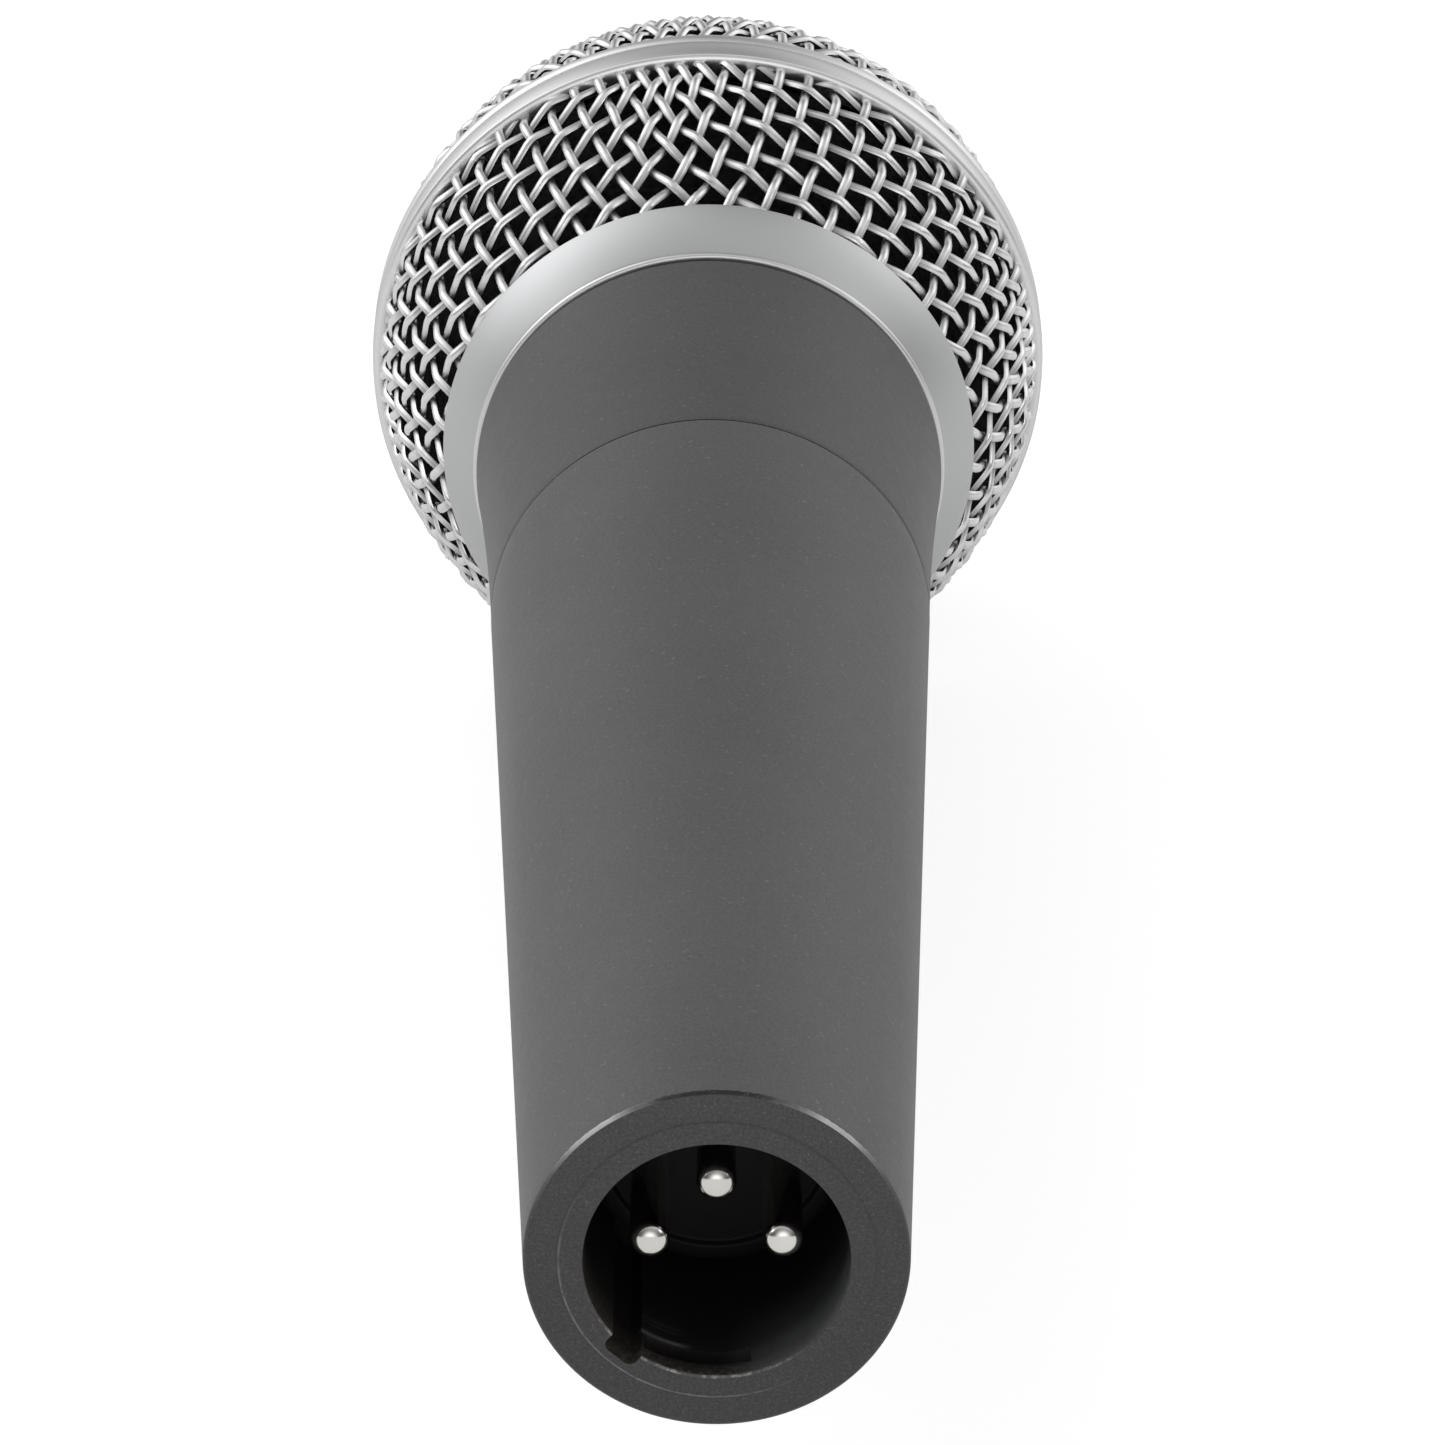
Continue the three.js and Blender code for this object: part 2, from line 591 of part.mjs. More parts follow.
const grilleGasket = {
  inner: 16.1, outer: 16.9, start: NECK_END + 0.05, end: COLLAR_START - 0.05, facets: FACETS,
};
const BAND_INNER = 23.6;
const GROOVE_RADIUS = BAND_RADIUS - 0.4;
const bandProfile = [
  [BAND_INNER, BAND_START + 0.2], [BAND_RADIUS - 0.3, BAND_START],
  [BAND_RADIUS, BAND_START + 0.35], [BAND_RADIUS, 133.85],
  [GROOVE_RADIUS, 134.0], [GROOVE_RADIUS, 134.3], [BAND_RADIUS, 134.45],
  [BAND_RADIUS, BAND_END - 0.35], [BAND_RADIUS - 0.3, BAND_END], [BAND_INNER, BAND_END - 0.2],
];
const lowerMeshProfile = layer(conePoints(CONE_START, CONE_END, 4), 0, MESH_DEPTH);
const upperMeshProfile = [...domePoints(0, 8).reverse(), ...domePoints(MESH_DEPTH, 8)];
add('grille_collar', materials.silver, grilleCollar());
add('grille_gasket', materials.rubber, ring(grilleGasket));
add('mesh_lower', materials.mesh, lathe(lowerMeshProfile));
add('foam_lower', materials.foam, lowerFoam());
add('grille_band', materials.silver, lathe(bandProfile));
add('mesh_upper', materials.mesh, lathe(upperMeshProfile));
add('foam_upper', materials.foam, upperFoam());

mic.position.y = -LENGTH / 2;
mic.updateMatrixWorld(true);
export default mic;
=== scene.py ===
# A handheld vocal microphone lying along Y: the tail face with its three pins is at the low-Y
# end, the woven wire grille at the high-Y end, Z is up and X runs across.
# Sizes are in millimetres. A station is a distance along +Y from the tail face, and a profile
# is a list of (radius, station) points about the long axis.
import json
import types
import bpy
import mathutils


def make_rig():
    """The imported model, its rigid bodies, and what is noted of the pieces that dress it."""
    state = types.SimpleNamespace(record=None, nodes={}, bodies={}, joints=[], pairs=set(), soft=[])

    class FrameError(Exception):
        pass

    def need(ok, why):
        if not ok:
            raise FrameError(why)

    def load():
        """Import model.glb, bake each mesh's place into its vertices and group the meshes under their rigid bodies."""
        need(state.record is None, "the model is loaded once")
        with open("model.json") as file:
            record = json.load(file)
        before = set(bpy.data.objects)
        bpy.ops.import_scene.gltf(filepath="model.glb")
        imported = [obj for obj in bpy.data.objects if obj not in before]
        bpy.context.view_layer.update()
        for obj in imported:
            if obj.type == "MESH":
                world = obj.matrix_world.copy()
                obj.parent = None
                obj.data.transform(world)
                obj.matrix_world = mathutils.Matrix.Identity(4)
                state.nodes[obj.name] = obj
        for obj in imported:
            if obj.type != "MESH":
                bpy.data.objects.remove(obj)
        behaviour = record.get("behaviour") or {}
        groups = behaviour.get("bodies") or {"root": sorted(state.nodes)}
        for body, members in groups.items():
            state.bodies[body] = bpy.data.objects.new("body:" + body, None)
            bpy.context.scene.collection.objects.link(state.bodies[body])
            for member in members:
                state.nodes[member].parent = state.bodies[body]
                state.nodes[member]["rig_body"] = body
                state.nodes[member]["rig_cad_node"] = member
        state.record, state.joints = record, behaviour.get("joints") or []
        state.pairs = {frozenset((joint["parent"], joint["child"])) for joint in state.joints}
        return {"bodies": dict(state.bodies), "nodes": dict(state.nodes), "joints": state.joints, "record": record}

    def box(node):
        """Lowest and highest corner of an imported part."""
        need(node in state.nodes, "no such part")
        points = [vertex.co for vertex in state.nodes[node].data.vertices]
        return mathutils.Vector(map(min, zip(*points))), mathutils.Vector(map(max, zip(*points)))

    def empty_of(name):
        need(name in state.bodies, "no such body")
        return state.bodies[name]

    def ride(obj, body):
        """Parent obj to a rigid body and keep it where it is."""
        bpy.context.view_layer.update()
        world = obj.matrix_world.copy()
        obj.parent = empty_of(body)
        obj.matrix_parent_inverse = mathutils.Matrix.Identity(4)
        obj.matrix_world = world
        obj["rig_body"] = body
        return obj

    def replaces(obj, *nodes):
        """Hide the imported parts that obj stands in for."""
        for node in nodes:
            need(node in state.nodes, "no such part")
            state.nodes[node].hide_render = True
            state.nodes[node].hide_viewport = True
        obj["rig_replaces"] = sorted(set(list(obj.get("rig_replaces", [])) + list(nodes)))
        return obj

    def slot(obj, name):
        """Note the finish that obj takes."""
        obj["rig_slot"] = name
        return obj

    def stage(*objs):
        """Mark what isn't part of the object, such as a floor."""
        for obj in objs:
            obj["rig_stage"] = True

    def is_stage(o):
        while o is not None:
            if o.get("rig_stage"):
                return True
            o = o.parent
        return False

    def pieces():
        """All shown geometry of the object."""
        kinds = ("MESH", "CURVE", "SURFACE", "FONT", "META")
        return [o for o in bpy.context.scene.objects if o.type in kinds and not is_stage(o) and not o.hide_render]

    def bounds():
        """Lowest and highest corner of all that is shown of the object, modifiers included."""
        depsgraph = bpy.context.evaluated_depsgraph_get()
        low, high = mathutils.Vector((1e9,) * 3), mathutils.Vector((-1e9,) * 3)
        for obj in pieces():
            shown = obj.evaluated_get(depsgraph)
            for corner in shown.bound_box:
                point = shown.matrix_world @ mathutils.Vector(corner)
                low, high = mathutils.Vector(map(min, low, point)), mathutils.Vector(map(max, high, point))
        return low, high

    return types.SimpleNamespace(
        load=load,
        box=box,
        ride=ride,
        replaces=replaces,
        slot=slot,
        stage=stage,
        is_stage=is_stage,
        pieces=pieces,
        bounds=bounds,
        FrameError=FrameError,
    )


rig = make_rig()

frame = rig.load()

import json
from functools import reduce
from math import asin, cos, hypot, inf, pi, radians, sin

import bpy
import bmesh
import numpy as np
from mathutils import Matrix, Vector
from numpy.linalg import norm

cad_low, cad_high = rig.bounds()
CAD_BOX = [list(map(float, cad_low)), list(map(float, cad_high))]
MM = 0.001
TAIL_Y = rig.box("handle_shell")[0][1]          # the tail face, in metres
scene = bpy.context.scene

# ------------------------------------------------------------------ driving sizes
TAIL_RADIUS = 11.5
TAIL_ROUNDING = 0.30                           # rounded outer edge of the tail face
BORE_RADIUS = 7.95                             # connector bore
HANDLE_WALL = 2.2
SCREW_AT = 16.6                                # upright set screw hole
SEAM_AT, SEAM_RADIUS, SEAM_GAP = 87.6, 15.5, 0.3
NECK_START, NECK_END, NECK_RADIUS = SEAM_AT + SEAM_GAP, 112.4, 17.2
NECK_WAIST = 0.2                               # how far the neck's side is hollowed
COLLAR_START, COLLAR_END, COLLAR_RADIUS = 112.8, 116.8, 19.75
BAND_START, BAND_END, BAND_RADIUS = 132.0, 136.4, 25.65
DOME_START, DOME_END, DOME_RADIUS = 136.65, 162.0, 25.3
DOME_HEIGHT = DOME_END - DOME_START
DOME_POWER = 1.97                              # superellipse exponent, 2 is a plain ellipse
THREAD_PITCH = 2.0
THREAD_BASE, THREAD_CREST = 1.3, 0.55          # ridge widths
LOWER_THREAD_AT, UPPER_THREAD_AT = 80.9, 113.8
WIRE_HALF_WIDTH, WIRE_HALF_HEIGHT = 0.36, 0.30
CRIMP, WIRE_SPACING = 0.30, 2.4                # rise of the weave, distance between wires
WIRE_DEPTH = WIRE_HALF_HEIGHT + CRIMP          # from the grille's outside to its middle surface
WIRE_AZIMUTH = 53.0                            # of one wire family, from +X towards +Z


def world_y(station):
    return TAIL_Y + station * MM


def place(x, station, z):
    return (x * MM, world_y(station), z * MM)


def handle_radius(station):
    return TAIL_RADIUS + (SEAM_RADIUS - TAIL_RADIUS) * station / SEAM_AT


def neck_radius(station):
    t = (station - NECK_START) / (NECK_END - NECK_START)
    return SEAM_RADIUS + (NECK_RADIUS - SEAM_RADIUS) * t - NECK_WAIST * 4 * t * (1 - t)


def cone_radius(station):
    """Outside of the lower grille, slightly crowned."""
    t = (station - COLLAR_END) / (BAND_START - COLLAR_END)
    return 19.8 + 5.4 * t + 1.0 * 4 * t * (1 - t)


def dome(inset, steps):
    """Profile of the upper grille from its pole down, set in from the outside."""
    wide, high = DOME_RADIUS - inset, DOME_HEIGHT - inset
    points = []
    for i in range(steps + 1):
        angle = pi / 2 * i / steps
        points.append((wide * sin(angle) ** (2 / DOME_POWER),
                       DOME_START + high * max(0.0, cos(angle)) ** (2 / DOME_POWER)))
    return points


# ------------------------------------------------------------------ shader helpers
class Tree:
    """A node tree, emptied. Values given to its methods may be numbers, colours or outputs."""

    def __init__(self, tree):
        self.tree = tree
        tree.nodes.clear()

    def feed(self, socket, value):
        if hasattr(value, "links"):
            self.tree.links.new(value, socket)
        else:
            socket.default_value = (*value, 1.0) if socket.type == "RGBA" else value

    def add(self, kind, inputs={}, **properties):
        node = self.tree.nodes.new("ShaderNode" + kind)
        for name, value in properties.items():
            setattr(node, name, value)
        for key, value in inputs.items():
            self.feed(node.inputs[key], value)
        return node


class Shader(Tree):
    """A material under construction. Textures read object coordinates, in metres."""

    def __init__(self, name):
        self.material = bpy.data.materials.new(name)
        self.material.use_nodes = True
        super().__init__(self.material.node_tree)
        self.output = self.add("OutputMaterial").inputs["Surface"]
        self.coord = self.add("TexCoord").outputs["Object"]

    def principled(self, **inputs):
        """Surface shader; underscores in the argument names stand for spaces."""
        inputs = {name.replace("_", " "): value for name, value in inputs.items()}
        return self.add("BsdfPrincipled", inputs).outputs[0]

    def finish(self, **inputs):
        self.feed(self.output, self.principled(**inputs))
        return self.material

    def noise(self, scale, detail=2.0, rough=0.5, vector=None, distortion=0.0):
        return self.add("TexNoise", {
            "Scale": scale, "Detail": detail, "Roughness": rough,
            "Distortion": distortion, "Vector": vector or self.coord}).outputs["Fac"]

    def wave(self, scale, distortion, direction):
        return self.add("TexWave", {
            "Scale": scale, "Distortion": distortion, "Detail": 2.0,
            "Vector": self.coord}, bands_direction=direction).outputs["Fac"]

    def ramp(self, value, stops, interpolation="LINEAR"):
        """Stops are (position, grey or colour)."""
        node = self.add("ValToRGB", {"Fac": value})
        node.color_ramp.interpolation = interpolation
        elements = node.color_ramp.elements
        while len(elements) < len(stops):
            elements.new(0.5)
        for element, (position, tone) in zip(elements, stops):
            element.position = position
            element.color = (*tone, 1.0) if isinstance(tone, tuple) else (tone, tone, tone, 1.0)
        return node.outputs["Color"]

    def fade(self, value, start, end, interpolation="LINEAR"):
        """0 up to start, 1 from end on."""
        return self.ramp(value, [(start, 0.0), (end, 1.0)], interpolation)

    def math(self, operation, *values, clamp=False):
        values = (*values, 0.0, 0.0)[:3]
        return self.add("Math", dict(enumerate(values)),
                        operation=operation, use_clamp=clamp).outputs[0]

    def times(self, *factors):
        return reduce(lambda a, b: self.math("MULTIPLY", a, b), factors)

    def plus(self, first, second):
        return self.math("ADD", first, second)

    def linear(self, value, gain, base, clamp=False):
        return self.math("MULTIPLY_ADD", value, gain, base, clamp=clamp)

    def mix(self, amount, under, over, blend="MIX"):
        return self.add("Mix", {0: amount, 6: under, 7: over},
                        data_type="RGBA", blend_type=blend).outputs[2]

    def brighten(self, colour, factor):
        return self.add("VectorMath", {0: colour, "Scale": factor}, operation="SCALE").outputs[0]

    def bump(self, height, strength, distance):
        return self.add("Bump", {"Strength": strength, "Distance": distance,
                                 "Height": height}).outputs[0]

    def facing(self):
        """Grows from 0 where the surface faces the view to 1 where it is seen edge on."""
        return self.add("LayerWeight", {"Blend": 0.5}).outputs["Facing"]

    def xyz(self, vector=None):
        return self.add("SeparateXYZ", {0: vector or self.coord}).outputs[0:3]

    def axis_distance(self, x, z):
        return self.math("SQRT", self.plus(self.times(x, x), self.times(z, z)))


def toned(colour, factor):
    return tuple(v * factor for v in colour)


# ------------------------------------------------------------------ materials
def end_face(mat, colour, face, y, z):
    """Darker, finely speckled colour on the flat face at the tail, with painted light lightening it towards its top.
    """
    normal_y = mat.xyz(mat.add("TexCoord").outputs["Normal"])[1]
    on_face = mat.times(mat.math("LESS_THAN", normal_y, -0.55),
                        mat.math("LESS_THAN", y, world_y(0.6)))
    paint = mat.ramp(mat.noise(scale=6200, detail=3, rough=0.7), [
        (0.32, toned(face, 0.70)), (0.52, face), (0.66, toned(face, 1.35)),
        (0.76, toned(face, 3.2))])
    # painted light: the face is made lighter towards its top, as if lit from above
    painted_light_upwards = mat.linear(z, gain=9.0, base=1.0)
    return mat.mix(on_face, colour, mat.brighten(paint, painted_light_upwards))


def mouth_wear_and_highlights(mat, colour, x, y, z, radius):
    """Paint abraded off the joint and the lip of the mouth, with painted highlights on them, mostly on the lower -X
    side.
    """
    def rubbed_and_lit(inner, outer, azimuth, start, end):
        """A ring on the end face, abraded and given a painted highlight towards an azimuth from +Z towards +X."""
        angle = radians(azimuth)
        towards = mat.math("DIVIDE", mat.plus(mat.times(x, sin(angle)),
                                              mat.times(z, cos(angle))), radius)
        ring = mat.times(mat.math("GREATER_THAN", radius, inner * MM),
                         mat.math("LESS_THAN", radius, outer * MM))
        return mat.times(ring, mat.math("LESS_THAN", y, world_y(0.06)),
                         mat.fade(towards, start, end, "EASE"))

    # joint ring: abraded paint lightened by a painted highlight
    patches = mat.ramp(mat.noise(scale=1500, detail=3, rough=0.7), [(0.36, 0.25), (0.60, 1.0)])
    joint = rubbed_and_lit(inner=9.33, outer=9.52, azimuth=-138, start=0.05, end=0.97)
    colour = mat.mix(mat.times(joint, patches), colour, (0.20, 0.20, 0.195))
    # mouth lip: abraded paint lightened by painted glints
    patches = mat.ramp(mat.noise(scale=1300, detail=3, rough=0.8), [(0.47, 0.12), (0.62, 1.0)])
    lip = rubbed_and_lit(inner=7.9, outer=8.10, azimuth=196, start=0.45, end=0.98)
    return mat.mix(mat.times(lip, patches), colour, (0.40, 0.40, 0.38))


def rim_with_painted_highlight(mat, colour, face, rough, y, z, radius):
    """Thin smoother rim round the tail, dark below, with a painted highlight either side of its top and darker at the
    very top.
    """
    ragged = mat.linear(mat.noise(scale=2600, detail=3, rough=0.8), gain=0.00030, base=-0.00015)
    rim = mat.times(mat.math("LESS_THAN", mat.plus(y, ragged), world_y(0.24)),
                    mat.math("GREATER_THAN", radius, (TAIL_RADIUS - 0.20) * MM))
    uneven = mat.linear(mat.noise(scale=700, detail=3, rough=0.7), gain=0.09, base=-0.045)
    height = mat.plus(mat.math("DIVIDE", z, TAIL_RADIUS * MM), uneven)
    # painted highlight: bright arcs either side of the top of the rim
    rim_painted_highlight = mat.ramp(height, [
        (0.30, face), (0.50, 0.13), (0.62, 0.26), (0.71, 0.56), (0.82, (0.62, 0.62, 0.61)),
        (0.90, 0.22), (0.955, 0.04), (0.985, (0.020, 0.020, 0.021))])
    chips = mat.fade(mat.noise(scale=3600, detail=3, rough=0.7), start=0.60, end=0.70)
    rim_painted_highlight = mat.mix(mat.times(chips, 0.30), rim_painted_highlight, (0.30, 0.30, 0.29))
    return mat.mix(rim, colour, rim_painted_highlight), mat.linear(rim, gain=-0.20, base=rough)


def enamel(name, base, face=None, mouth=False):
    """Sprayed enamel: fine grain, faint clouds, a few pale specks, a painted sheen towards a grazing view and, if
    given, an end face.
    """
    mat = Shader(name)
    fine = mat.noise(scale=5200, detail=3, rough=0.6)
    clouds = mat.fade(mat.noise(scale=55, detail=3), start=0.35, end=0.65)
    colour = mat.mix(clouds, toned(base, 0.90), toned(base, 1.10))
    grain = mat.ramp(fine, [(0.36, toned(base, 0.74)), (0.64, toned(base, 1.26))])
    colour = mat.mix(0.5, colour, grain)
    specks = mat.fade(mat.noise(scale=2600, detail=1), start=0.69, end=0.76)
    colour = mat.mix(mat.times(specks, 0.35), colour, toned(base, 2.4))
    # painted sheen: the colour is brightened towards a grazing view
    graze = mat.ramp(mat.facing(), [(0.50, 0.500), (0.70, 0.490), (0.80, 0.535),
                                    (0.89, 0.65), (0.96, 0.72)])
    colour = mat.brighten(colour, mat.times(graze, 2.0))
    rough = mat.linear(mat.noise(scale=900), gain=0.10, base=0.47)
    if face:
        x, y, z = mat.xyz()
        colour = end_face(mat, colour, face, y, z)
        radius = mat.axis_distance(x, z)
        if mouth:
            colour = mouth_wear_and_highlights(mat, colour, x, y, z, radius)
        else:
            colour, rough = rim_with_painted_highlight(mat, colour, face, rough, y, z, radius)
    height = mat.plus(mat.times(fine, 0.6), mat.times(mat.noise(scale=1700), 0.4))
    return mat.finish(Base_Color=colour, Roughness=rough, Specular_IOR_Level=0.45,
                      Normal=mat.bump(height, strength=0.32, distance=0.00006))


def satin_metal(name, base, rough, mark=0.12, graze=None):
    """Plated metal with fine circumferential turning marks and slight smudges."""
    mat = Shader(name)
    x, y, z = mat.xyz()
    around = mat.add("CombineXYZ", {0: mat.axis_distance(x, z), 1: y}).outputs[0]
    lines = mat.noise(scale=9000, rough=0.6, vector=around)
    smudge = mat.noise(scale=70, detail=4, rough=0.6)
    height = mat.plus(mat.times(lines, 0.5), mat.times(mat.noise(scale=3800), 0.5))
    inputs = {}
    if graze:                                  # painted shade: the reflection turns greyer at a grazing view
        inputs["Specular_Tint"] = mat.ramp(mat.facing(), [(0.58, 1.0), (0.80, graze)])
    return mat.finish(
        Base_Color=mat.mix(mat.fade(smudge, start=0.3, end=0.7), toned(base, 0.95), base),
        Metallic=1.0, Roughness=mat.linear(smudge, gain=0.10, base=rough - 0.05),
        Normal=mat.bump(height, strength=mark, distance=0.00003), **inputs)


def woven_wire(name):
    """Bright wire, darkened by painted shade and rougher in the dips of the weave (crest 0) than on top (1)."""
    mat = Shader(name)
    patches = mat.noise(scale=420, detail=3, rough=0.6)
    fine = mat.noise(scale=5200, rough=0.6)
    colour = mat.ramp(patches, [(0.30, (0.88, 0.885, 0.88)), (0.70, (0.99, 0.99, 0.985))])
    crest = mat.add("Attribute", attribute_name="crest").outputs["Fac"]
    # painted shade: the wire is darkened in the dips of the weave
    dip_shade = mat.ramp(mat.plus(crest, mat.linear(patches, gain=0.24, base=-0.12)),
                    [(0.08, 0.46), (0.40, 0.70), (0.70, 1.0), (0.90, 1.0)])
    rough = mat.linear(fine, gain=0.12, base=mat.linear(crest, gain=-0.12, base=0.34))
    return mat.finish(Base_Color=mat.mix(1.0, colour, dip_shade, blend="MULTIPLY"),
                      Metallic=1.0, Roughness=rough,
                      Normal=mat.bump(fine, strength=0.10, distance=0.00003))


def open_foam(name):
    mat = Shader(name)
    cells = mat.add("TexVoronoi", {"Scale": 1500, "Vector": mat.coord},
                    feature="F1").outputs["Distance"]
    lumps = mat.noise(scale=900, detail=4, rough=0.7)
    return mat.finish(
        Base_Color=mat.ramp(cells, [(0.0, 0.002), (0.7, (0.012, 0.012, 0.013))]),
        Roughness=1.0, Specular_IOR_Level=0.15,
        Normal=mat.bump(mat.plus(cells, lumps), strength=0.9, distance=0.0004))


def plastic(name, base, rough=0.3, bump=0.08, specular=0.5, scale=1500):
    mat = Shader(name)
    patches = mat.fade(mat.noise(scale=180, detail=3), start=0.3, end=0.7)
    return mat.finish(
        Base_Color=mat.mix(patches, toned(base, 0.8), toned(base, 1.2)),
        Roughness=mat.linear(mat.noise(scale=240, detail=3), gain=0.14, base=rough - 0.07),
        Normal=mat.bump(mat.noise(scale=scale, detail=3, rough=0.55),
                        strength=bump, distance=0.00005),
        Specular_IOR_Level=specular)


def metal(name, base, rough=0.3, scale=2500, strength=0.15, wave=None):
    """Bare metal, its relief a grain or, if given, a regular wave."""
    mat = Shader(name)
    grain = mat.noise(scale=scale, detail=3, rough=0.6)
    patches = mat.fade(mat.noise(scale=160, detail=3), start=0.3, end=0.7)
    height = mat.wave(**wave) if wave else grain
    return mat.finish(
        Base_Color=mat.mix(patches, toned(base, 0.85), base), Metallic=1.0,
        Roughness=mat.linear(grain, gain=0.15, base=rough - 0.07),
        Normal=mat.bump(height, strength=strength, distance=0.00008))


def bore_wall(name):
    """Black moulding, scuffed and dusty near the open end, with a painted sheen on its lower +X side."""
    mat = Shader(name)
    x, y, z = mat.xyz()
    depth = mat.times(mat.math("SUBTRACT", y, world_y(0)), 1000.0)   # mm from the tail face
    bore = BORE_RADIUS * MM

    def by_depth(stops, interpolation="LINEAR"):
        """Stop positions are in centimetres from the tail face."""
        return mat.ramp(mat.math("DIVIDE", depth, 10.0), stops, interpolation)

    def towards(x_part, z_part, start, end):
        """Rises round the wall towards the direction (x_part, -z_part)."""
        reach = mat.math("SUBTRACT", mat.times(x, x_part), mat.times(z, z_part))
        return mat.fade(mat.math("DIVIDE", reach, bore), start, end, "EASE")

    def across(stops):
        """Stop positions run from the middle towards -X, in bore radii."""
        return mat.ramp(mat.math("DIVIDE", x, -bore), stops)

    near = by_depth([(0.0, 1.0), (0.16, 0.55), (0.42, 0.18), (0.85, 0.0)], "EASE")
    low = mat.fade(mat.math("DIVIDE", z, -bore), start=0.15, end=0.9)
    grit = mat.fade(mat.noise(scale=3000, detail=3, rough=0.75), start=0.50, end=0.62)

    # painted sheen: pale light on the lower +X side
    sheen = mat.times(towards(0.80, 0.60, start=0.62, end=0.985), near)
    patchy = mat.linear(mat.noise(scale=700, detail=4, rough=0.7), gain=1.3, base=0.30,
                        clamp=True)
    colour = mat.mix(mat.times(sheen, patchy), (0.012, 0.012, 0.0125), (0.165, 0.170, 0.176))

    # gritty dust at the bottom of the lip, lightened by a painted sheen
    lip = by_depth([(0.0, 1.0), (0.09, 0.6), (0.14, 0.0)], "EASE")
    dust_and_sheen = mat.times(lip, low, mat.linear(grit, gain=0.8, base=0.2))
    colour = mat.mix(dust_and_sheen, colour, (0.105, 0.096, 0.080))

    # scuffs running round the wall
    stretched = mat.add("Mapping", {"Vector": mat.coord, "Scale": (260, 2200, 260)}).outputs[0]
    scuffs = mat.noise(scale=1.0, detail=3, rough=0.6, vector=stretched)
    arcs = mat.times(mat.fade(scuffs, start=0.60, end=0.70), near)
    colour = mat.mix(mat.times(arcs, low, 0.35), colour, (0.10, 0.10, 0.10))

    # dust on the lower -X side
    side = mat.times(towards(-0.88, 0.47, start=0.70, end=0.95),
                     by_depth([(0.0, 1.0), (0.20, 0.5), (0.42, 0.0)]))
    colour = mat.mix(mat.times(side, mat.linear(grit, gain=0.75, base=0.25)), colour,
                     (0.095, 0.088, 0.070))

    # three fine slanting scratches, broken up along their length
    slanted = mat.math("DIVIDE", mat.linear(x, gain=60.0, base=depth), 10.0)
    scratches = mat.ramp(slanted, [
        (0.385, 0.0), (0.392, 1.0), (0.399, 0.0), (0.428, 0.0), (0.434, 0.8),
        (0.441, 0.0), (0.452, 0.0), (0.457, 0.6), (0.464, 0.0)])
    span = across([(0.22, 0.0), (0.34, 1.0), (0.55, 1.0), (0.60, 0.0)])
    broken = mat.ramp(mat.noise(scale=900, detail=3, rough=0.7), [(0.38, 0.2), (0.58, 1.0)])
    colour = mat.mix(mat.times(scratches, span, mat.times(low, broken)), colour,
                     (0.11, 0.11, 0.11))

    # pale line along the far edge of the recess
    edge = by_depth([(0.265, 0.0), (0.283, 1.0), (0.300, 1.0), (0.325, 0.0)])
    span = across([(0.18, 0.0), (0.30, 1.0), (0.56, 1.0), (0.60, 0.0)])
    colour = mat.mix(mat.times(edge, span, mat.times(low, 0.9)), colour, (0.15, 0.15, 0.15))
    return mat.finish(
        Base_Color=colour, Specular_IOR_Level=0.35,
        Roughness=mat.linear(mat.noise(scale=240, detail=3), gain=0.12, base=0.36),
        Normal=mat.bump(mat.noise(scale=1500, detail=3), strength=0.06, distance=0.00005))


def fibre(name, base, scale=1800):
    mat = Shader(name)
    matted = mat.noise(scale=scale, detail=5, rough=0.75, distortion=1.5)
    return mat.finish(
        Base_Color=mat.ramp(matted, [(0.3, toned(base, 0.6)), (0.7, toned(base, 1.3))]),
        Roughness=0.95, Normal=mat.bump(matted, strength=0.8, distance=0.0002))


HANDLE = enamel("handle_enamel", base=(0.120, 0.121, 0.122), face=(0.066, 0.066, 0.068))
NECK = enamel("neck_enamel", base=(0.101, 0.102, 0.103))
CONNECTOR = enamel("connector_enamel", base=(0.11, 0.11, 0.112), face=(0.065, 0.065, 0.067),
                   mouth=True)
SILVER = satin_metal("satin_silver", base=(0.66, 0.665, 0.67), rough=0.42)
EDGE = satin_metal("bare_edge", base=(0.86, 0.86, 0.86), rough=0.32, mark=0.05)
# the band takes a painted shade at grazing views
BAND = satin_metal("band_silver", base=(0.985, 0.985, 0.985), rough=0.33, mark=0.10, graze=0.68)
WIRE = woven_wire("woven_wire")
FOAM = open_foam("open_cell_foam")
BORE = plastic("bore_black", base=(0.009, 0.009, 0.0095), rough=0.5, bump=0.06, specular=0.25)
WALLS = bore_wall("bore_wall")
BLACK = plastic("moulded_black", base=(0.010, 0.010, 0.011), rough=0.32)
RUBBER = plastic("black_rubber", base=(0.018, 0.018, 0.019), rough=0.75, bump=0.25,
                 specular=0.3, scale=2600)
PIN = metal("pin_plate", base=(0.95, 0.935, 0.885), rough=0.15, scale=900, strength=0.05)
STEEL = metal("turned_steel", base=(0.50, 0.51, 0.52), rough=0.32)
BRASS = metal("bare_brass", base=(0.72, 0.55, 0.27))
COPPER = metal("enamelled_copper", base=(0.70, 0.30, 0.14), rough=0.28, strength=0.6,
               wave=dict(scale=520, distortion=0.15, direction="Y"))
CORE = metal("core_laminations", base=(0.20, 0.19, 0.18), rough=0.5, strength=0.6,
             wave=dict(scale=300, distortion=0.2, direction="Z"))
MAGNET = metal("magnet_alloy", base=(0.24, 0.24, 0.25), rough=0.4)
FELT = fibre("pressed_felt", base=(0.20, 0.19, 0.17))
BOARD = fibre("paper_laminate", base=(0.22, 0.11, 0.05), scale=700)
